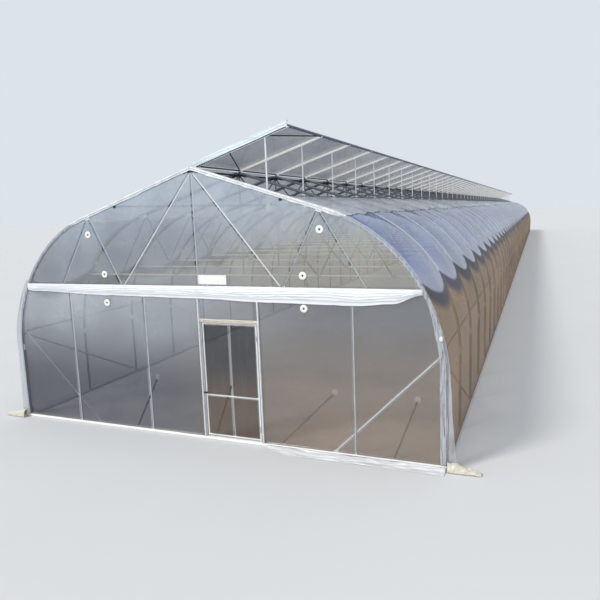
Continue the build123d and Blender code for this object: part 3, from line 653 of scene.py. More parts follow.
def disc(bm, centre, profile, way=forward, steps=24):
    """Turned piece: a profile of (radius, height) points spun about an axis at centre, along way."""
    verts = [bm.verts.new((r, 0, h)) for r, h in profile]
    edges = [bm.edges.new(pair) for pair in pairs(verts)]
    made = bmesh.ops.spin(bm, geom=verts + edges, cent=(0, 0, 0), axis=(0, 0, 1), dvec=(0, 0, 0),
                          angle=2 * pi, steps=steps, use_merge=True, use_duplicate=False)
    linked = set(verts) | set(only(bmesh.types.BMVert, made["geom_last"]))
    grown = True
    while grown:
        more = {edge.other_vert(vert) for vert in linked for edge in vert.link_edges} - linked
        grown = bool(more)
        linked |= more
    bmesh.ops.remove_doubles(bm, verts=list(linked), dist=1e-6)
    linked = [vert for vert in linked if vert.is_valid]
    bmesh.ops.transform(bm, matrix=Matrix.Translation(centre) @ turn_to(way), verts=linked)
    bmesh.ops.recalc_face_normals(bm, faces=list({face for vert in linked for face in vert.link_faces}))


def sheet_grid(columns, rows, place):
    """Grid whose points go where place(u, v) says, with u and v from 0 to 1."""
    bm = bmesh.new()
    bmesh.ops.create_grid(bm, x_segments=columns, y_segments=rows, size=0.5)
    for vert in bm.verts:
        vert.co = place(vert.co.x + 0.5, vert.co.y + 0.5)
    bmesh.ops.remove_doubles(bm, verts=bm.verts[:], dist=1e-6)
    return bm


def look_along(bm, way):
    """Turn the faces of a sheet to look along way, a direction or a function of a point."""
    seen = 0.0
    for face in bm.faces:
        wanted = way(face.calc_center_median()) if callable(way) else Vector(way)
        seen += face.normal.dot(wanted) * face.calc_area()
    if seen < 0:
        bmesh.ops.reverse_faces(bm, faces=bm.faces[:])


def soft_noise(point, cell, seed=0.0):
    """Smooth noise from -1 to 1 whose marks are about cell metres across."""
    return noise.noise(Vector(point) / cell + Vector((seed, 2 * seed, 3 * seed)))


def held_in(value):
    """The value kept between 0 and 1."""
    return max(0.0, min(1.0, value))


def slope_z(x, offset=0.0):
    """Height of the roof line at x, moved out from the tube's middle."""
    return apex_z - abs(x) * tan(roof_slope) + offset / cos(roof_slope)


def arch_half(z, offset=0.0):
    """Half width of the arch at a height, moved out from the tube's middle."""
    if z <= spring_z:
        return half_width + offset
    if z <= spring_z + (haunch_radius + offset) * sin(haunch_sweep):
        return haunch_centre_x + sqrt(max(0.0, (haunch_radius + offset) ** 2 - (z - spring_z) ** 2))
    return max(0.0, (apex_z + offset / cos(roof_slope) - z) / tan(roof_slope))


def along_arch(distance, offset=0.0):
    """Point and outward direction on the right half of the arch, a distance up from the ground."""
    if distance <= spring_z:
        return Vector((half_width + offset, 0, distance)), Vector((1, 0, 0))
    if distance <= haunch_top:
        angle = (distance - spring_z) / haunch_radius
        out = Vector((cos(angle), 0, sin(angle)))
        return Vector((haunch_centre_x, 0, spring_z)) + out * (haunch_radius + offset), out
    out = Vector((sin(roof_slope), 0, cos(roof_slope)))
    run = Vector((-cos(roof_slope), 0, sin(roof_slope))) * (distance - spring_z - haunch_length)
    return Vector((shoulder_x, 0, shoulder_z)) + run + out * offset, out


def arch_distance(x):
    """Distance up the arch, from the ground, to the place on the slope at x."""
    return haunch_top + (shoulder_x - abs(x)) / cos(roof_slope)


def rafter_places(near, far):
    """Where the vent's rafters stand along the tunnel, between the first and the last."""
    return [near] + [y + rafter_shift for y in arch_places[1:-1]] + [far]


each_arch = {"both": True, "places": arch_places}
on_arches = ["arch_legs", "arch_haunches", "arch_roof_tubes"]
both_gables = (("front", trim_y, -1), ("rear", length - trim_y, 1))


class PieceOperator(bpy.types.Operator):
    """Common settings of the operators that build a piece."""
    bl_options = {"REGISTER", "UNDO"}


class BuildStage(PieceOperator):
    """Floor, background, lamps and camera, and the finishes"""
    bl_idname = "greenhouse.stage"
    bl_label = "Stage"

    def execute(self, context):
        scene = context.scene
        scene.view_settings.view_transform = "Standard"
        scene.cycles.transparent_max_bounces = 32
        make_finishes(scene.greenhouse_colours)
        bm = bmesh.new()
        bmesh.ops.create_grid(bm, x_segments=1, y_segments=1, size=45.0)
        bmesh.ops.translate(bm, verts=bm.verts[:], vec=(0, length / 2, -0.0006))
        mesh = bpy.data.meshes.new("studio_floor")
        bm.to_mesh(mesh)
        bm.free()
        mesh.materials.append(studio_material("studio_paper", "#dfe1e2"))
        ground = bpy.data.objects.new("studio_floor", mesh)
        scene.collection.objects.link(ground)
        self.build_world(scene)
        self.build_lamps(scene)
        self.build_camera(scene)
        return {"FINISHED"}

    def build_world(self, scene):
        """Pale backdrop for the eye and for gloss, and an even fill light."""
        world = scene.world = bpy.data.worlds.new("studio")
        world.use_nodes = True
        world.node_tree.nodes.clear()
        add = partial(add_node, world.node_tree)
        rays = add("LightPath", {}).node.outputs
        seen = add("Math", {0: rays["Is Camera Ray"], 1: rays["Is Glossy Ray"]}, operation="MAXIMUM")
        seen = add("Math", {0: seen, 1: rays["Is Transmission Ray"]}, operation="MAXIMUM")
        fill, view = (add("Background", {"Color": shade(hex_linear(text)), "Strength": strength})
                      for text, strength in (("#e6edf6", 0.70), ("#dde3ea", 1.0)))
        add("OutputWorld", {"Surface": add("MixShader", {0: seen, 1: fill, 2: view})})

    def build_lamps(self, scene):
        """Broad soft key light from the front left, high up, and a weak low fill from the right."""
        for name, energy, angle, colour, way in (
                ("key", 1.9, 14, "#fffaf2", (0.48, 0.62, -0.72)),
                ("fill", 0.7, 40, "#ffffff", (-0.45, 0.88, -0.10))):
            lamp = bpy.data.lights.new(name, "SUN")
            lamp.energy = energy
            lamp.angle = radians(angle)
            lamp.color = hex_linear(colour)
            light = bpy.data.objects.new(name, lamp)
            light.rotation_euler = Vector(way).to_track_quat("-Z", "Y").to_euler()
            scene.collection.objects.link(light)

    def build_camera(self, scene):
        """Camera where the photograph was taken, from the gable and the vanishing lines."""
        yaw, pitch, roll = 0.3909, 0.1506, 0.0371
        ahead = Vector((-sin(yaw) * cos(pitch), cos(yaw) * cos(pitch), -sin(pitch)))
        level = Vector((cos(yaw), sin(yaw), 0.0))
        below = ahead.cross(level)
        right = cos(roll) * level + sin(roll) * below
        down = cos(roll) * below - sin(roll) * level
        data = bpy.data.cameras.new("camera")
        data.sensor_width = 36.0
        data.lens = 35.02
        data.clip_start = 0.01
        camera = scene.camera = bpy.data.objects.new("camera", data)
        turn = Matrix((right, -down, -ahead)).transposed().to_4x4()
        camera.matrix_world = Matrix.Translation((0.6347, -1.0043, 0.4624)) @ turn
        scene.collection.objects.link(camera)


class BuildArches(PieceOperator):
    """Legs, bent haunches and roof tubes of every arch, with their sleeves and bolts"""
    bl_idname = "greenhouse.arches"
    bl_label = "Arches"
    sleeve_half = 0.007

    def execute(self, context):
        tube_piece("arch_legs", [((half_width, 0, sill_top), (half_width, 0, spring_z))], arch_r,
                   "dull_shaded_zinc", ["leg_tubes"], **each_arch)

        bm = bmesh.new()
        sides = context.scene.greenhouse_sizes.tube_sides
        place = Matrix.Translation((half_width, 0, spring_z))
        ring = bmesh.ops.create_circle(bm, cap_ends=False, radius=arch_r, segments=sides, matrix=place)
        ring = ring["verts"]
        edges = list({edge for vert in ring for edge in vert.link_edges})
        bmesh.ops.spin(bm, geom=ring + edges, cent=(haunch_centre_x, 0, spring_z), axis=forward,
                       dvec=(0, 0, 0), angle=haunch_sweep, steps=16, use_duplicate=False)
        bmesh.ops.holes_fill(bm, edges=bm.edges[:], sides=sides)
        bmesh.ops.recalc_face_normals(bm, faces=bm.faces[:])
        make_piece("arch_haunches", bm, "dull_shaded_zinc", ["haunch_tubes_lower", "haunch_tubes_upper"], **each_arch)

        tube_piece("arch_roof_tubes", [((shoulder_x, 0, shoulder_z), (0, 0, apex_z))], arch_r,
                   "dull_shaded_zinc", ["roof_tubes_left", "roof_tubes_right"], **each_arch)

        bm = bmesh.new()
        for distance in (spring_z, spring_z + haunch_length / 2, haunch_top):
            low, out = along_arch(distance - self.sleeve_half)
            high, out = along_arch(distance + self.sleeve_half)
            tube(bm, low, high, arch_r + 0.0002)
            bolts(bm, [low.lerp(high, share) - out * arch_r for share in (0.25, 0.75)], 0.0008, 0.0007, -out)
        make_piece("arch_sleeves", bm, "zinc", **each_arch)
        return {"FINISHED"}


class BuildLongTubes(PieceOperator):
    """Tubes that run the whole length under the ridge and the slopes, with a clamp at each arch"""
    bl_idname = "greenhouse.long_tubes"
    bl_label = "Ridge and slope tubes"

    def execute(self, context):
        tube_piece("ridge_tube", [((0, ridge_low.y, ridge_z), (0, ridge_high.y, ridge_z))], purlin_r,
                   "dark_zinc", ["ridge_purlin"])
        x, z = purlin_high.x - purlin_r, (purlin_low.z + purlin_high.z) / 2
        tube_piece("slope_tubes", [((x, purlin_low.y, z), (x, purlin_high.y, z))], purlin_r,
                   "dark_zinc", ["slope_purlins"], both=True)

        bm = bmesh.new()
        bar(bm, (-0.007, -0.0042, ridge_z - 0.0028), (0.007, 0.0042, ridge_z + 0.0010), 0.0005)
        for side in (-1, 1):
            tilt = Matrix.Rotation(side * roof_slope, 4, "Y")
            turn = Matrix.Translation((side * 0.009, 0, slope_z(0.009, -arch_r))) @ tilt
            bar(bm, (-0.0085, -0.0040, -0.0022), (0.0085, 0.0040, 0.0004), 0.0004, turn)
            bolts(bm, [(side * 0.0045, -0.0042, ridge_z - 0.0006),
                       (side * 0.0135, -0.0040, slope_z(0.0135, -arch_r - 0.001))], 0.0012)
        make_piece("ridge_clamps", bm, "dark_zinc", places=arch_places)

        bm = bmesh.new()
        bar(bm, (x - 0.0032, -0.0046, z - 0.0030), (x + 0.0032, 0.0046, z + 0.0016), 0.0006)
        bolts(bm, [(x - 0.0012, -0.0046, z - 0.0008)], 0.0010)
        make_piece("slope_clamps", bm, "dark_zinc", **each_arch)
        return {"FINISHED"}


class BuildTrusses(PieceOperator):
    """Tie, king bar and web bars in every arch, with their plates and bolts"""
    bl_idname = "greenhouse.trusses"
    bl_label = "Trusses"

    def execute(self, context):
        reach = arch_half(tie_z)
        # Bars behind the front gable take the darker steel, painted shade; the front ones stay lighter.
        shaded_behind = ("dull_shaded_zinc", behind_front)
        tube_piece("cross_ties", [((-reach, 0, tie_z), (reach, 0, tie_z))], tie_r, "zinc", ["truss_ties"],
                   places=arch_places, second=("warm_zinc", behind_front))
        tube_piece("king_bars", [((0, 0, tie_z), (0, 0, ridge_z))], web_r, "zinc", ["king_posts"],
                   places=arch_places, second=shaded_behind)
        tube_piece("long_web_bars", [((web_foot_places[0] - web_spread, 0, tie_z), (0, 0, ridge_z))], web_r,
                   "bright_zinc", ["truss_long_diagonals"], second=shaded_behind, **each_arch)
        tube_piece("short_web_bars", web_bars(), web_r, "zinc", ["truss_struts"], second=shaded_behind,
                   **each_arch)

        bm = bmesh.new()
        turn = Matrix.Translation((web_head_x, 0, slope_z(web_head_x))) @ Matrix.Rotation(roof_slope, 4, "Y")
        for near, far, low, high in ((-0.0034, -0.0024, -0.0062, 0.0016), (0.0024, 0.0034, -0.0062, 0.0016),
                                     (-0.0034, 0.0034, -0.0066, -0.0056)):
            bar(bm, (-0.0065, near, low), (0.0065, far, high), 0.0003, turn)
        bolts(bm, [turn @ Vector((x, -0.0034, -0.0035)) for x in (-0.004, 0.004)])
        make_piece("web_brackets", bm, "white_paint", ["truss_brackets"], **each_arch)

        bm = bmesh.new()
        for x in web_foot_places:
            bar(bm, (x - 0.0046, -0.0026, tie_z - 0.0020), (x + 0.0046, -0.0018, tie_z + 0.0042), 0.0003)
            bolts(bm, [(x + aside, -0.0026, tie_z + up)
                       for aside, up in ((-0.0032, 0.0034), (0.0032, 0.0034), (0.0, -0.0004))], 0.0009)
        bar(bm, (reach - 0.010, -0.0026, tie_z - 0.0022), (reach + 0.001, -0.0018, tie_z + 0.0030), 0.0003)
        bolts(bm, [(reach - 0.006, -0.0026, tie_z)], 0.0009)
        make_piece("tie_plates", bm, "zinc", **each_arch)
        return {"FINISHED"}


class BuildGableFrame(PieceOperator):
    """Posts, door header and slanted braces of both gables and of the first and last bay"""
    bl_idname = "greenhouse.gable_frame"
    bl_label = "Gable frame"
    side_brace_reach = 2 * bay
    side_brace_drop = 0.006
    rail_inset = 0.0058

    def execute(self, context):
        bm = bmesh.new()
        for x in post_places:
            tube(bm, (x, 0, sill_top), (x, 0, tie_z), post_r)
            bar(bm, (x - 0.0034, -0.0024, tie_z - 0.0050), (x + 0.0034, -0.0004, tie_z - 0.0012), 0.0004)
            bar(bm, (x - 0.0045, -0.0028, sill_top), (x + 0.0045, 0.0030, sill_top + 0.0014), 0.0004)
            bolts(bm, [(x, -0.0024, tie_z - 0.0032)], 0.0009, 0.0005)
        make_piece("gable_uprights", bm, "zinc", ["gable_posts"], places=gable_places)

        header_z = (header_low.z + header_high.z) / 2
        tube_piece("door_head_tube", [((0.0, 0, header_z), (door_post_x, 0, header_z))], post_r, "zinc",
                   ["door_header"])

        bm = bmesh.new()
        inset = post_r + brace_r + film_gap
        x, z, foot_x = arch_half(gable_brace_z) - arch_r * 0.5, gable_brace_z, gable_brace_foot_x
        tube(bm, (foot_x, inset, sill_top), (x, inset, z), brace_r)
        bar(bm, (x - 0.007, inset - 0.0022, z - 0.0050), (x - 0.001, inset - 0.0014, z + 0.0012), 0.0003)
        bar(bm, (foot_x - 0.004, inset - 0.0024, sill_top),
            (foot_x + 0.006, inset + 0.0024, sill_top + 0.0012), 0.0003)
        # The gable braces take the lighter steel, painted sunlight.
        make_piece("gable_brace_bars", bm, "bright_zinc", ["gable_braces"], True, [0.0, length - 2 * inset])

        bm = bmesh.new()
        inset = arch_r + film_gap + brace_r
        rail_z = side_brace_high.z - brace_r
        rail_x = arch_half(rail_z, -inset)
        tube(bm, (rail_x, self.rail_inset, rail_z), (rail_x, length - self.rail_inset, rail_z), brace_r)
        z = rail_z - self.side_brace_drop
        x = arch_half(z, -inset)
        for near, far in ((0.0, self.side_brace_reach), (length, length - self.side_brace_reach)):
            tube(bm, (half_width - inset, far, sill_top), (x, near, z), brace_r)
            bar(bm, (x - 0.0022, near - 0.004, z - 0.004), (x - 0.0014, near + 0.004, z + 0.004), 0.0003)
        make_piece("side_brace_bars", bm, "dull_shaded_zinc", ["side_braces"], both=True)
        return {"FINISHED"}


class BuildGroundFrame(PieceOperator):
    """Rails under the legs and the white strips across the feet of the gables"""
    bl_idname = "greenhouse.ground_frame"
    bl_label = "Rails and sills"
    sill_parts = 66

    def execute(self, context):
        bm = bmesh.new()
        bar(bm, (half_width - arch_r, rail_low.y, 0.0), (half_width + arch_r, rail_high.y, sill_top), 0.0006)
        make_piece("side_rails", bm, "zinc", ["ground_rails"], both=True)

        bm = bmesh.new()
        bar(bm, (sill_low.x, sill_low.y, 0.0), (sill_high.x, -sill_low.y, sill_top), 0.0009)
        for k in range(1, self.sill_parts):
            cut = (sill_low.x + (sill_high.x - sill_low.x) * k / self.sill_parts, 0, 0)
            bmesh.ops.bisect_plane(bm, geom=whole(bm), plane_co=cut, plane_no=(1, 0, 0), dist=1e-6)
        for vert in bm.verts:
            wave = soft_noise(vert.co, 0.05, 3.0)
            vert.co.y += (0.0005 if vert.co.y > 0 else -0.0005) * wave
            if vert.co.z > sill_top / 2:
                vert.co.z -= 0.0006 * abs(soft_noise(vert.co, 0.03, 5.0))
        make_piece("gable_foot_strips", bm, "white_paint", ["gable_sills"], places=gable_places)

        bm = bmesh.new()
        near = sill_low.y
        bar(bm, (0.139, near - 0.0002, 0.0030), (half_width - 0.006, near + 0.0006, 0.0036))
        make_piece("foot_strip_seam", bm, "dull_shaded_zinc")
        return {"FINISHED"}


class BuildSideFilm(PieceOperator):
    """Film over each side of the arches, pulled tight on the tubes and slack between them"""
    bl_idname = "greenhouse.side_film"
    bl_label = "Side film"
    columns_a_bay = 8
    rows = 40
    overhang = 0.0041
    foot_gap = 0.0006

    def make_side(self, sizes, name, node, side, top_x):
        """One side's film, from the ground to a line near the ridge."""
        reach = arch_distance(top_x)
        edge_wave = 0.0022 if side > 0 else 0.0

        def place(u, v):
            y = u * length
            distance = self.foot_gap + (reach - self.foot_gap) * v
            phase = (y / bay) % 1.0
            if phase > 0.999:
                phase = 0.0
            lift = sin(pi * phase) ** 0.8 * min(1.0, v * 5.0)
            bulge = sizes.side_bulge if distance < spring_z + haunch_length * 0.8 else sizes.roof_bulge
            fade = min(1.0, (1 - v) * 10 + 0.35)
            wrinkle = 0.0007 * soft_noise((distance * 1.2, y, 0), 0.035, 4.0 + side)
            offset = arch_r + film_gap + lift * fade * (bulge + wrinkle * 2.0)
            offset += lift * 0.0012 * soft_noise((distance, y, 0), 0.12, 9.0 * side)
            point = along_arch(distance, offset)[0]
            if v > 0.97:
                point.z += edge_wave * (soft_noise((y, 0, 0), 0.045, 2.0) - 0.4)
                point.x += edge_wave * 1.5 * soft_noise((y, 0, 0), 0.06, 6.0)
            if u < 1e-6:
                y = -self.overhang
            if u > 1 - 1e-6:
                y = length + self.overhang
            return Vector((side * point.x, y, point.z))

        if side > 0:
            steps = bay_count * 6
            edge = [place(k / steps, 1.0) + Vector((0, 0, 0.0003)) for k in range(steps + 1)]
            tube_piece("film_edge_hem", pairs(edge), 0.0007, "blue_steel", sides=5, slot="clear_film")
        flat = (round(length + 2 * self.overhang, 3), round(reach, 3))
        make_sheet(name, sheet_grid(bay_count * self.columns_a_bay, self.rows, place),
                   lambda centre: Vector((centre.x, 0, centre.z - spring_z / 2)), "side_film", flat,
                   "stretched", on_arches, [node], sharp=80)

    def execute(self, context):
        sizes = context.scene.greenhouse_sizes
        self.make_side(sizes, "film_left_side", "left_film", -1, 0.0035)
        self.make_side(sizes, "film_right_side", "right_film", 1, 0.1998)
        return {"FINISHED"}


class BuildGableFilm(PieceOperator):
    """Film over both gables, in the front cut round the door"""
    bl_idname = "greenhouse.gable_film"
    bl_label = "Gable film"
    edge = arch_r + 0.0002
    door_gap = 0.0002

    def flat_piece(self, name, node, low_z, high_z, low_x, high_x, columns, rows, material="lower_film",
                   y=gable_y, side=-1):
        """Stretched film between two heights, and two uprights or the arch's edge where one is None."""
        def place(u, v):
            z = low_z + (high_z - low_z) * v
            left = -arch_half(z, self.edge) if low_x is None else low_x
            right = arch_half(z, self.edge) if high_x is None else high_x
            return Vector((left + (right - left) * u, y, z))

        bm = sheet_grid(columns, rows, place)
        area = face_area(bm)
        xs, zs = [vert.co.x for vert in bm.verts], [vert.co.z for vert in bm.verts]
        flat = (round(max(xs) - min(xs), 4), round(max(zs) - min(zs), 4))
        for vert in bm.verts:
            x, z = vert.co.x, vert.co.z
            fold = soft_noise((x, z, 0), 0.07, 11.0 + low_z * 9)
            pull = soft_noise((x + z, (x - z) * 3, 0), 0.04, 5.0)
            vert.co.y += 0.00025 * fold + 0.00012 * pull
        make_sheet(name, bm, (0, side, 0), material, flat, "stretched",
                   ["arch_legs", "arch_haunches", "gable_uprights"], [node],
                   area=min(area, flat[0] * flat[1]), sharp=80)

    def execute(self, context):
        top = apex_z + self.edge / cos(roof_slope)
        bottom = sill_top + 0.0003
        self.flat_piece("film_front_upper", "front_film_upper", tie_z, top, None, None, 60, 36, "gable_film")
        self.flat_piece("film_front_left", "front_film_left", bottom, tie_z, None, 0.0, 36, 30)
        self.flat_piece("film_front_right", "front_film_right", bottom, tie_z, door_post_x, None, 32, 30)
        self.flat_piece("film_front_over_door", "front_film_over_door", header_low.z + post_r, tie_z,
                        self.door_gap, door_post_x - self.door_gap, 12, 8)
        self.flat_piece("film_rear", "rear_film", bottom, top, None, None, 48, 48, y=length - gable_y, side=1)
        return {"FINISHED"}


class BuildFilmRoll(PieceOperator):
    """Bunched film along the tie of each gable, gathered in long folds"""
    bl_idname = "greenhouse.film_roll"
    bl_label = "Film roll"
    depths = ((-1.0, 0.0150), (-0.95, 0.0170), (-0.52, 0.0230), (0.0, 0.0255), (0.32, 0.0300),
              (0.74, 0.0320), (0.88, 0.0270), (1.0, 0.0100))

    def depth(self, share):
        """How far the roll hangs at a share of the way from the middle to its end."""
        for (start, low), (end, high) in pairs(self.depths):
            if share <= end:
                t = max(0.0, (share - start) / (end - start))
                return low + (high - low) * t * t * (3 - 2 * t)
        return self.depths[-1][1]

    def execute(self, context):
        folds = context.scene.greenhouse_sizes.roll_folds
        top = tie_z + tie_r
        end_x = arch_half(top, 0.0020)
        for gable, y, facing in both_gables:
            def place(u, v):
                share = 2 * u - 1
                x = share * end_x
                drift = 0.9 * soft_noise((x, 0, 0), 0.16, 3.0) + 0.35 * soft_noise((x, v, 0), 0.05, 8.0)
                turn = 2 * pi * (folds * v + drift * sin(pi * v))
                body = sin(pi * min(1.0, v * 1.15 + 0.05)) ** 0.7
                thick = 0.0014 + 0.0048 * body * (0.72 + 0.28 * (0.5 - 0.5 * cos(turn)))
                ends = min(1.0, (1 - abs(share)) * 22 + 0.35)
                lap = 0.0016 * held_in((abs(share) - 0.93) / 0.03)
                z = top - self.depth(share) * v - 0.0010 * sin(turn) * sin(pi * v)
                z += 0.0007 * soft_noise((x, v * 0.1, 1), 0.02, 1.0) * v
                return Vector((x, y + facing * (0.0003 + thick * ends + lap), z))

            bm = sheet_grid(220, folds * 8, place)
            make_sheet(f"film_roll_{gable}", bm, (0, facing, 0), "white_film", flat_size(bm, 2 * end_x),
                       "gathered", ["cross_ties"], ["film_rolls"] if facing < 0 else [], 0.0004, sharp=70)
        return {"FINISHED"}


class BuildEdgeBands(PieceOperator):
    """Film folded round the edge of each gable arch, with the clip strip that holds it"""
    bl_idname = "greenhouse.edge_bands"
    bl_label = "Edge bands"
    inner = -0.0028
    outer = 0.0040
    strip_steps = 60
    clip_z = 0.233

    def swell(self, distance, side):
        """How many times its least width the band reaches inwards, at a distance up the arch."""
        leg = held_in((tie_z - 0.02 - distance) / 0.05)
        slope = held_in((distance - spring_z - 0.85 * haunch_length) / 0.06)
        place = (distance, side, 0)
        lumps = soft_noise(place, 0.045, 6.0 + side) + 0.7 * soft_noise(place, 0.014, 2.0)
        ragged = slope * (0.15 + 0.95 * max(0.0, lumps)) * (1.25 if side > 0 else 0.7)
        slack = leg * (2.2 if side > 0 else -0.75) * (1.0 + 0.12 * soft_noise(place, 0.06, 8.0))
        return 1.0 + ragged + slack

    def execute(self, context):
        reach = arch_distance(0.0)
        start = sill_top + 0.0003
        for gable, y, facing in both_gables:
            for side, label in ((-1, "left"), (1, "right")):
                def place(u, v):
                    distance = start + (reach - start) * u
                    inner = self.inner * self.swell(distance, side)
                    offset = inner + (self.outer - inner) * min(1.0, v * 1.35)
                    wrap = max(0.0, v - 0.74) / 0.26
                    drift = 0.5 * soft_noise((distance, 0, 0), 0.08, 2.0)
                    ridge = 0.0009 * (0.5 - 0.5 * cos(2 * pi * (3 * v + drift)))
                    point = along_arch(distance, offset + 0.0004 * wrap)[0]
                    deep = (0.0004 + ridge) * (1 - wrap) - 0.0050 * wrap
                    return Vector((side * point.x, y + facing * deep, point.z))

                bm = sheet_grid(150, 14, place)
                make_sheet(f"edge_band_{gable}_{label}", bm,
                           lambda centre: Vector((centre.x, 0, centre.z)) * 0.3 + Vector((0, facing, 0)),
                           "band_film", flat_size(bm, reach - start), "folded", on_arches,
                           ["film_edge_bands"] if facing < 0 and side < 0 else [], sharp=70,
                           second=("leg_band_film", below_roof))

        strip_y = trim_y - 0.0012
        run = reach - sill_top - 0.002
        points = [along_arch(sill_top + 0.001 + run * k / self.strip_steps, 0.0006)[0]
                  + Vector((0, strip_y, 0)) for k in range(self.strip_steps + 1)]
        tube_piece("clip_strips", pairs(points), 0.0006, "zinc", sides=6, both=True,
                   places=[0.0, length - 2 * strip_y])
        self.build_leg_flaps()
        bm = bmesh.new()
        x, z = arch_half(self.clip_z), self.clip_z
        bar(bm, (x - 0.003, trim_y - 0.0050, z), (x + 0.003, trim_y - 0.0014, z + 0.007), 0.0009)
        bar(bm, (x - 0.001, trim_y - 0.0062, z + 0.002), (x + 0.002, trim_y - 0.0046, z + 0.009), 0.0006)
        make_piece("leg_clip", bm, "white_plastic")
        return {"FINISHED"}

    def build_leg_flaps(self):
        """Loose edges of the film that stand out beside the two front legs, by their widths going up."""
        for side, label, low_z, high_z, widths in ((-1, "left", 0.014, 0.330, (0.017, 0.0135, 0.0095)),
                                                   (1, "right", 0.012, 0.250, (0.015, 0.007, 0.0015))):
            def place(u, v):
                z = low_z + (high_z - low_z) * v
                half = int(v >= 0.5)
                lower, upper = widths[half:half + 2]
                wide = lower + (upper - lower) * (2 * v - half) + 0.0012 * soft_noise((z, side, 0), 0.04, 3.0)
                x = arch_half(z, arch_r + film_gap + 0.0002) + wide * u
                fold = soft_noise((u * 0.02, z * 0.12, side), 0.006, 5.0)
                return Vector((side * x, -0.0015 - 0.0030 * u - 0.0022 * u * fold, z))

            bm = sheet_grid(10, 60, place)
            make_sheet(f"leg_flap_{label}", bm, forward, "flap_film", flat_size(bm, high_z - low_z)[::-1],
                       "hung", ["arch_legs"], sharp=75)


class BuildWashers(PieceOperator):
    """Round washers that clamp the gable film, their rubber plugs and the bent rods behind them"""
    bl_idname = "greenhouse.washers"
    bl_label = "Washers and rods"
    spots = ((0.2658, 0.4290), (0.2298, 0.3440), (0.2298, 0.2820))
    ring_r = 0.0075

    def execute(self, context):
        rings, plugs, rods = bmesh.new(), bmesh.new(), bmesh.new()
        r = self.ring_r
        ring = [(r * share, high) for share, high in (
            (0.28, 0.0), (0.28, 0.0008), (0.42, 0.0013), (0.70, 0.0016), (0.92, 0.0013), (1.0, 0.0007),
            (1.0, 0.0))]
        plug = [(r * share, high) for share, high in (
            (0.0, 0.0012), (0.2, 0.0011), (0.27, 0.0004), (0.27, 0.0))]
        for side in (-1, 1):
            for x, z in self.spots:
                disc(rings, (side * x, trim_y, z), ring)
                disc(plugs, (side * x, trim_y, z), plug, steps=16)
            (high_x, high_z), (x, top), (x, bottom) = self.spots
            points = [Vector((side * x + 0.0065 * sin(pi * k / 12) ** 0.7, 0.0031 + 0.0004 * sin(pi * k / 12),
                              bottom + (top - bottom) * (k / 12))) for k in range(13)]
            bent_tube(rods, points, 0.0009)
            bent_tube(rods, [Vector((side * high_x + aside, y, high_z + up)) for aside, y, up in (
                (0.0, 0.0022, 0.0), (0.003, 0.0024, 0.008), (0.002, 0.0026, 0.018),
                (0.0, 0.0028, 0.026))], 0.0007)
        make_piece("clamp_washers", rings, "white_plastic", ["film_washers"])
        make_piece("washer_plugs", plugs, "black_plastic")
        make_piece("washer_bent_rods", rods, "dull_shaded_zinc", ["washer_rods"])
        return {"FINISHED"}


class BuildRisers(PieceOperator):
    """Raking pipes just inside the front gable, each with a round white cap"""
    bl_idname = "greenhouse.risers"
    bl_label = "Risers"
    places = ((-0.185, -0.152), (0.015, 0.037), (0.165, 0.268), (0.395, 0.432))
    foot_y = 0.0078
    cap_y = 0.050
    cap_z = 0.105
    cap_profile = ((0.0, 0.0026), (0.0038, 0.0025), (0.0066, 0.0017), (0.0075, 0.0004), (0.0075, -0.0008),
                   (0.0060, -0.0020), (0.0, -0.0022))

    def execute(self, context):
        pipes, caps = bmesh.new(), bmesh.new()
        for foot_x, cap_x in self.places:
            foot, cap = Vector((foot_x, self.foot_y, 0.0016)), Vector((cap_x, self.cap_y, self.cap_z))
            tube(pipes, foot, cap, 0.0017)
            middle = foot.lerp(cap, 0.5)
            way = (cap - foot).normalized()
            tube(pipes, middle - way * 0.004, middle + way * 0.004, 0.0021)
            tube(pipes, cap - way * 0.009, cap, 0.0022)
            disc(caps, cap, self.cap_profile, (0, -1, 0.25))
        make_piece("riser_tubes", pipes, "dull_shaded_zinc", ["riser_pipes"])
        make_piece("riser_caps", caps, "white_plastic")
        return {"FINISHED"}


class BuildPlate(PieceOperator):
    """Bare plate on the gable film, held by a rivet at each corner"""
    bl_idname = "greenhouse.plate"
    bl_label = "Blank plate"
    margin = 0.002
    rivet_profile = ((0.0, 0.0004), (0.0004, 0.00035), (0.0008, 0.0))

    def execute(self, context):
        plate, rivets = bmesh.new(), bmesh.new()
        bar(plate, plate_low, plate_high, 0.0004)
        make_piece("bare_plate", plate, "white_plastic", ["blank_plate"])
        for x in (plate_low.x + self.margin, plate_high.x - self.margin):
            for z in (plate_low.z + self.margin, plate_high.z - self.margin):
                disc(rivets, (x, plate_low.y, z), self.rivet_profile, steps=12)
        make_piece("plate_rivets", rivets, "zinc")
        return {"FINISHED"}


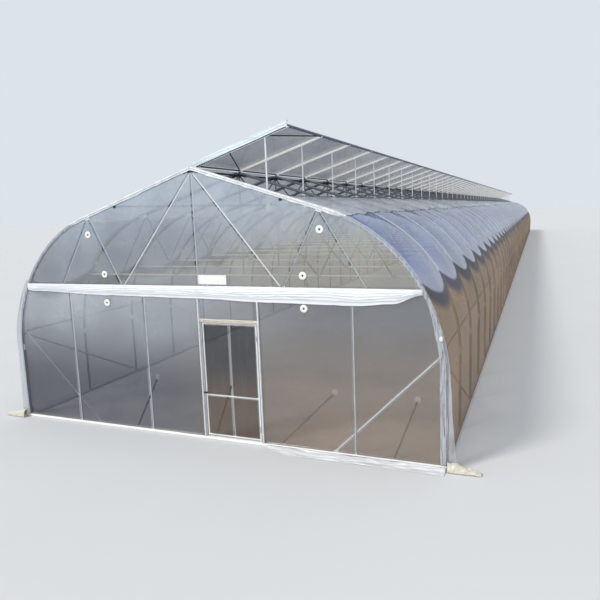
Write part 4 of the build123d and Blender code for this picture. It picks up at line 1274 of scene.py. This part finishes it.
class BuildDoor(PieceOperator):
    """Door leaf with its tube frame, bowed bar, film, latch and hinges"""
    bl_idname = "greenhouse.door"
    bl_label = "Door"
    hinge_x = 0.1268
    hinge_y = -0.0038
    hinge_heights = (0.032, 0.218)
    bow_y = 0.0028
    bow_drop = 0.006
    header_film = (0.2552, 0.2472)

    def execute(self, context):
        bm = bmesh.new()
        for x in (leaf_left, leaf_right):
            tube(bm, (x, 0, leaf_bottom - leaf_r), (x, 0, leaf_top + leaf_r), leaf_r, 12)
        for z in (leaf_bottom, leaf_mid_z, leaf_top):
            tube(bm, (leaf_left, 0, z), (leaf_right, 0, z), leaf_r, 12)
        tall = leaf_top - leaf_bottom - self.bow_drop
        points = [(0.0014, leaf_top), (0.0002, leaf_top - self.bow_drop)]
        points += [(-0.0020 * sin(pi * k / 8), leaf_top - self.bow_drop - tall * k / 8) for k in range(1, 9)]
        bent_tube(bm, [Vector((leaf_middle + aside, self.bow_y, z)) for aside, z in points], 0.0008)
        for z in (leaf_top, leaf_mid_z, leaf_bottom):
            bar(bm, (leaf_middle - 0.0022, 0.0006, z - 0.0012),
                (leaf_middle + 0.0022, 0.0034, z + 0.0012), 0.0003)
        make_piece("leaf_frame", bm, "white_paint", ["door_frame"], body="door", slot="galvanised_steel")
        self.build_film()
        self.build_latch()
        self.build_hinges()
        self.build_jambs()
        return {"FINISHED"}

    def build_film(self):
        """Film over the leaf, slack down both stiles."""
        wide, tall = leaf_right - leaf_r - leaf_left, leaf_top - leaf_bottom

        def place(u, v):
            x = leaf_left + wide * u
            z = leaf_bottom + tall * v
            slack = max(0.0, 1 - u * 7) + max(0.0, 1 - (1 - u) * 7)
            fold = soft_noise((x * 6, z * 0.6, 0), 0.035, 2.0)
            wave = 0.0003 * soft_noise((x, z, 0), 0.05, 7.0) + 0.0005 * slack * fold
            return Vector((x, -leaf_r - 0.0006 + wave, z))

        make_sheet("leaf_film", sheet_grid(36, 40, place), forward, "door_film",
                   (round(wide, 4), round(tall, 4)), "stretched", ["leaf_frame"], ["door_film"],
                   sharp=80, body="door")

    def build_latch(self):
        """Latch body, its handle and the pale keep above it."""
        x, y, z = latch_high.x, latch_low.y, (latch_low.z + latch_high.z) / 2
        bm = bmesh.new()
        bar(bm, latch_low, latch_high, 0.0004)
        tube(bm, (x - 0.0018, y, z), (x - 0.0018, y - 0.0018, z), 0.0007, 8)
        bar(bm, (x - 0.0050, y - 0.0026, z - 0.0006), (x - 0.0010, y - 0.0016, z + 0.0006), 0.0003)
        make_piece("latch_body", bm, "black_plastic", ["door_latch"], body="door")
        bm = bmesh.new()
        bar(bm, (leaf_left - 0.0012, -0.0034, latch_high.z + 0.0004),
            (leaf_left + 0.0022, -0.0022, latch_high.z + 0.0044), 0.0003)
        make_piece("latch_keep", bm, "zinc", body="door")

    def build_hinges(self):
        """Sleeves and straps that ride on the leaf, pins and arms that stay on the post."""
        sleeves, pins = bmesh.new(), bmesh.new()
        x, y = self.hinge_x, self.hinge_y
        bore, skin, half = 0.00085, 0.0015, 0.003
        pin = Vector((0, 0, 0.0054))
        for z in self.hinge_heights:
            centre = Vector((x, y, z))
            disc(sleeves, centre, [(bore, -half), (skin, -half), (skin, half), (bore, half), (bore, -half)],
                 (0, 0, 1), 20)
            bar(sleeves, (leaf_right - 0.0008, y - 0.0007, z - 0.0028),
                (x - 0.0010, -leaf_r + 0.0002, z + 0.0028), 0.0002)
            tube(pins, centre - pin, centre + pin, 0.0008, 12)
            for low_z in (z - 0.0052, z + 0.0032):
                bar(pins, (x - 0.0008, y - 0.0008, low_z),
                    (door_post_x, -post_r + 0.0002, low_z + 0.002), 0.0002)
        make_piece("hinge_sleeves", sleeves, "zinc", ["door_hinge_sleeves"], body="door")
        make_piece("hinge_pins", pins, "zinc", ["door_hinge_pins"])

    def build_jambs(self):
        """White film strips down the door posts, and the film bunched along the header."""
        tall = tie_z - 0.026 - sill_top
        for label, x, half in (("left", -0.0010, 0.0014), ("right", door_post_x + 0.0020, 0.0016)):
            def place(u, v):
                z = sill_top + 0.001 + tall * v
                wave = 0.0003 * soft_noise((z, u * 0.02, 0), 0.02, 4.0)
                return Vector((x - half * cos(pi * u), trim_y - 0.0001 - 0.0030 * sin(pi * u) + wave, z))

            bm = sheet_grid(10, 60, place)
            make_sheet(f"jamb_strip_{label}", bm, forward, "white_film", (narrowest_sheet, round(tall, 3)),
                       "folded", ["gable_uprights"], area=min(face_area(bm), narrowest_sheet * tall), sharp=70)

        high, low = self.header_film

        def bunch(u, v):
            x = 0.0012 + (door_post_x - 0.0012) * u
            turn = 2 * pi * (2.4 * v + 0.5 * soft_noise((x, 0, 0), 0.03, 5.0))
            z = high - (0.0078 + 0.0012 * soft_noise((x, 0, 0), 0.016, 1.0)) * v
            y = trim_y - 0.0003 - 0.0012 * (1 + sin(turn)) * sin(pi * min(1.0, v + 0.1))
            return Vector((x, y, max(z, low)))

        bm = sheet_grid(70, 16, bunch)
        make_sheet("header_bunch", bm, forward, "cream_film", flat_size(bm, 0.13), "gathered",
                   ["door_head_tube"], slot="white_film", sharp=70)


class BuildGroundFilm(PieceOperator):
    """Loose film on the ground along the front gable and gathered at both corners"""
    bl_idname = "greenhouse.ground_film"
    bl_label = "Loose film"

    def crumpled(self, name, crumple, columns, rows, place, flat, material, held, along=1.0, nodes=()):
        """Crumpled sheet that lies where place(u, v) says and never goes below the ground.

        A small along stretches its creases along X.
        """
        def crushed(u, v):
            point = place(u, v)
            spot = Vector((point.x * along, point.y, point.z))
            high = abs(soft_noise(spot, 0.012, 3.0)) + 0.6 * abs(soft_noise(spot, 0.006, 7.0))
            edge = min(1.0, 6 * min(v, 1 - v) + 0.25)
            point.z = max(0.0004, point.z + crumple * edge * (high - 0.25))
            point.y += crumple * 0.5 * edge * soft_noise(spot, 0.010, 12.0)
            return point

        make_sheet(name, sheet_grid(columns, rows, crushed), (0, -0.4, 1), material, flat, held,
                   ["gable_foot_strips"], nodes, sharp=75)

    def execute(self, context):
        crumple = context.scene.greenhouse_sizes.crumple
        start_x, end_x = 0.142, half_width + 0.002
        near = sill_low.y - 0.0003

        def skirt(u, v):
            x = start_x + (end_x - start_x) * u
            wide = 0.0270 + 0.005 * soft_noise((x, 0, 0), 0.05, 2.0)
            taper = min(1.0, u * 5 + 0.3)
            return Vector((x, near - wide * taper * v, 0.0030 * (1 - v) ** 1.2))

        self.crumpled("foot_skirt", crumple, 170, 16, skirt, (0.345, 0.028), "skirt_film", "laid", 0.22,
                      ["loose_ground_film"])
        for side, label in ((-1, "left"), (1, "right")):
            def bundle(u, v):
                x = half_width + 0.0046 + 0.058 * u
                tall = 0.0145 * (1 - u) ** 0.7 + 0.0020
                wide = 0.0078 * (1 - 0.25 * u)
                return Vector((side * x, -0.0120 - wide * cos(pi * v), 0.0004 + tall * sin(pi * v)))

            self.crumpled(f"corner_bundle_{label}", crumple, 44, 26, bundle, (0.062, 0.034),
                          "cream_film", "gathered")
        return {"FINISHED"}


class BuildVent(PieceOperator):
    """Open flap on the ridge: tubes, rafters, film, end bands and braces"""
    bl_idname = "greenhouse.vent"
    bl_label = "Ridge vent"
    vent_slope = radians(17.0)
    tube_r = 0.002
    band_height = 0.011
    band_end_x = -0.0100

    def line(self, x, offset=0.0):
        """Height of the flap's rafters at x, moved out by offset."""
        hinge_z = vent_low.z + self.tube_r
        return hinge_z + (x * sin(self.vent_slope) + offset) / cos(self.vent_slope)

    def execute(self, context):
        r = self.tube_r
        reach = vent_high.x - r
        places = rafter_places(vent_low.y + r, vent_high.y - r)
        hinge, edge = ([(x, y, self.line(x)) for y in (vent_low.y, vent_high.y)] for x in (0, reach))
        tube_piece("flap_hinge_tube", [hinge], r, "dull_shaded_zinc", ["vent_long_tubes"])
        tube_piece("flap_edge_tube", [edge], r * 1.15, "blue_steel", sides=12)

        bm = bmesh.new()
        near = places[0]
        turn = Matrix.Translation((0, near, self.line(0))) @ Matrix.Rotation(-self.vent_slope, 4, "Y")
        bar(bm, (0.001, -0.0017, -0.0034), (reach / cos(self.vent_slope), 0.0017, r), 0.0006, turn)
        for x in (0.0, reach):
            z = self.line(x)
            bar(bm, (x - 0.0030, near - 0.0032, z - 0.0028), (x + 0.0030, near + 0.0032, z - 0.0012), 0.0004)
        make_piece("flap_rafters", bm, "white_paint", ["vent_rafters"], places=places)

        braces = [((low_x, near, self.line(low_x)), (high_x, far, self.line(high_x)))
                  for near, far in ((places[0], places[1]), (places[-1], places[-2]))
                  for low_x, high_x in ((0.075, 0.0), (0.1538, reach))]
        tube_piece("flap_braces", braces, 0.0012, "dark_zinc", ["vent_braces"])
        self.build_film(reach)
        self.build_end_bands(reach)
        return {"FINISHED"}

    def build_film(self, reach):
        """Film over the flap, slack between its rafters, painted pale and sunlit on top and in dark painted
        shade beneath.
        """
        r = self.tube_r
        low_y, high_y = vent_low.y, vent_high.y

        def place(u, v):
            y = low_y + (high_y - low_y) * u
            x = 0.0002 + (reach + r - 0.0002) * v
            phase = ((y - rafter_shift) / bay) % 1.0
            lift = sin(pi * phase) * sin(pi * min(1.0, v + 0.02))
            offset = r + film_gap + lift * (0.0010 + 0.0006 * soft_noise((x, y, 0), 0.08, 3.0))
            return Vector((x, y, self.line(x, offset)))

        flat = (round(high_y - low_y, 3), round((reach + r) / cos(self.vent_slope), 4))
        piece = make_sheet("flap_film", sheet_grid(bay_count * 6, 12, place), (0, 0, 1), "vent_film_top", flat,
                           "stretched", ["flap_rafters"], ["vent_film"], sharp=80)
        # Its inner faces take the dark underside colour, painted shade.
        piece.data.materials.append(finishes["vent_film"])
        piece.modifiers["Thickness"].material_offset = 1

    def build_end_bands(self, reach):
        """Folded film that closes each end of the flap."""
        r = self.tube_r
        low, high = -r * 1.2, self.band_height - r
        for gable, y, facing in (("front", vent_low.y - 0.0003, -1), ("rear", vent_high.y + 0.0003, 1)):
            def place(u, v):
                x = self.band_end_x + (reach + r - self.band_end_x) * u
                sag = 0.0008 * soft_noise((x, 0, 0), 0.05, 2.0) * (1 - v)
                offset = low + (high - low) * min(1.0, v * 1.25) + sag
                over = max(0.0, v - 0.8) * 5
                deep = 0.0006 * (0.5 - 0.5 * cos(2 * pi * (3 * v + soft_noise((x, 0, 0), 0.09, 1.0))))
                out = y + facing * (deep * (1 - over)) - facing * 0.006 * over
                return Vector((x, out, self.line(x, offset)))

            bm = sheet_grid(48, 16, place)
            wide = (reach + r - self.band_end_x) / cos(self.vent_slope)
            make_sheet(f"flap_end_band_{gable}", bm, (0, facing, 0), "vent_band_film", flat_size(bm, wide),
                       "folded", ["flap_rafters"], ["vent_end_bands"] if facing < 0 else [], sharp=70)
        hems = [((r, y, self.line(r, -r)), (reach, y, self.line(reach, -r)))
                for y in (vent_low.y - 0.0009, vent_high.y + 0.0009)]
        tube_piece("flap_end_hems", hems, 0.0008, "dark_zinc", sides=8)


class BuildVentGear(PieceOperator):
    """Toothed racks, pinion casings and the drive shaft that hold the flap open"""
    bl_idname = "greenhouse.vent_gear"
    bl_label = "Vent gear"
    tooth = 0.0008
    tooth_pitch = 0.003
    half_y = 0.003
    casing_shift = 0.0041

    def execute(self, context):
        tooth, half_y = self.tooth, self.half_y
        places = rafter_places(rack_low.y + tooth, rack_high.y - tooth)
        near, far = places[0] - tooth, places[0] + tooth
        bm = bmesh.new()
        left, right = rack_low.x, rack_high.x - tooth
        bar(bm, (left, near, rack_low.z), (right, far, rack_high.z), 0.0002)
        z = rack_low.z + 0.002
        while z < rack_high.z - 0.012:
            bar(bm, (right - 0.0002, near, z), (right + tooth, far, z + self.tooth_pitch / 2))
            z += self.tooth_pitch
        x, z = (left + right) / 2, rack_high.z - 0.003
        tube(bm, (x, places[0] - 0.0016, z), (x, places[0] + 0.0016, z), 0.0012, 8)
        make_piece("toothed_racks", bm, "rack_zinc", ["vent_racks"], places=places)

        x, z = (shaft_low.x + shaft_high.x) / 2, (shaft_low.z + shaft_high.z) / 2
        bm = bmesh.new()
        tube(bm, (x, shaft_low.y - 0.004, z), (x, shaft_high.y + 0.004, z), 0.0015)
        for y in arch_places[1:-1:2]:
            tube(bm, (x, y - 0.1 - 0.008, z), (x, y - 0.1 + 0.008, z), 0.0021)
        make_piece("drive_shaft", bm, "zinc", ["vent_shaft"])

        centres = [y - self.casing_shift for y in places[:-1]] + [places[-1] + self.casing_shift]
        bm = bmesh.new()
        top = slope_z(x + 0.0015, -arch_r) + 0.0012
        bar(bm, (x - 0.005, -half_y, z - 0.006), (x + 0.005, half_y, z + 0.006), 0.0009)
        tube(bm, (x, -half_y - 0.0008, z), (x, half_y + 0.0008, z), 0.0032, 12)
        bar(bm, (x - 0.0015, -0.0012, z + 0.005), (x + 0.0015, 0.0012, top), 0.0003)
        bar(bm, (x - 0.0040, -half_y, top - 0.0028), (x + 0.0040, half_y + 0.004, top), 0.0004)
        bolts(bm, [(x + aside, -half_y, z + up) for up in (0.0044, -0.0044)
                   for aside in (-0.0036, 0.0036)], 0.0007)
        bmesh.ops.translate(bm, verts=bm.verts[:], vec=(0, centres[0], 0))
        repeat(bm, centres)
        bar(bm, (x - 0.0015, 0.0, top - 0.003), (x + 0.0015, centres[0], top), 0.0002)
        bar(bm, (x - 0.0015, centres[-1], top - 0.003), (x + 0.0015, length, top), 0.0002)
        make_piece("pinion_casings", bm, "white_paint", ["vent_casings"])
        return {"FINISHED"}


class GreenhousePanel(bpy.types.Panel):
    """Lists the pieces of the greenhouse, in building order"""
    bl_idname = "VIEW3D_PT_greenhouse"
    bl_label = "Polytunnel greenhouse"
    bl_space_type = "VIEW_3D"
    bl_region_type = "UI"
    bl_category = "Greenhouse"

    def draw(self, context):
        scene = context.scene
        for group, settings in ((GreenhouseSizes, scene.greenhouse_sizes),
                                (GreenhouseColours, scene.greenhouse_colours)):
            for name in group.__annotations__:
                self.layout.prop(settings, name)
        for piece in pieces:
            self.layout.operator(piece.bl_idname)


pieces = (BuildStage, BuildArches, BuildLongTubes, BuildTrusses, BuildGableFrame, BuildGroundFrame,
          BuildSideFilm, BuildGableFilm, BuildFilmRoll, BuildEdgeBands, BuildWashers, BuildRisers,
          BuildPlate, BuildDoor, BuildGroundFilm, BuildVent, BuildVentGear)
classes = (GreenhouseSizes, GreenhouseColours, *pieces, GreenhousePanel)


def register():
    for item in classes:
        bpy.utils.register_class(item)
    bpy.types.Scene.greenhouse_sizes = bpy.props.PointerProperty(type=GreenhouseSizes)
    bpy.types.Scene.greenhouse_colours = bpy.props.PointerProperty(type=GreenhouseColours)


def unregister():
    del bpy.types.Scene.greenhouse_sizes
    del bpy.types.Scene.greenhouse_colours
    for item in reversed(classes):
        bpy.utils.unregister_class(item)


def main():
    """Build the stage and every piece."""
    register()
    for piece in pieces:
        group, name = piece.bl_idname.split(".")
        getattr(getattr(bpy.ops, group), name)()


if __name__ == "__main__":
    main()
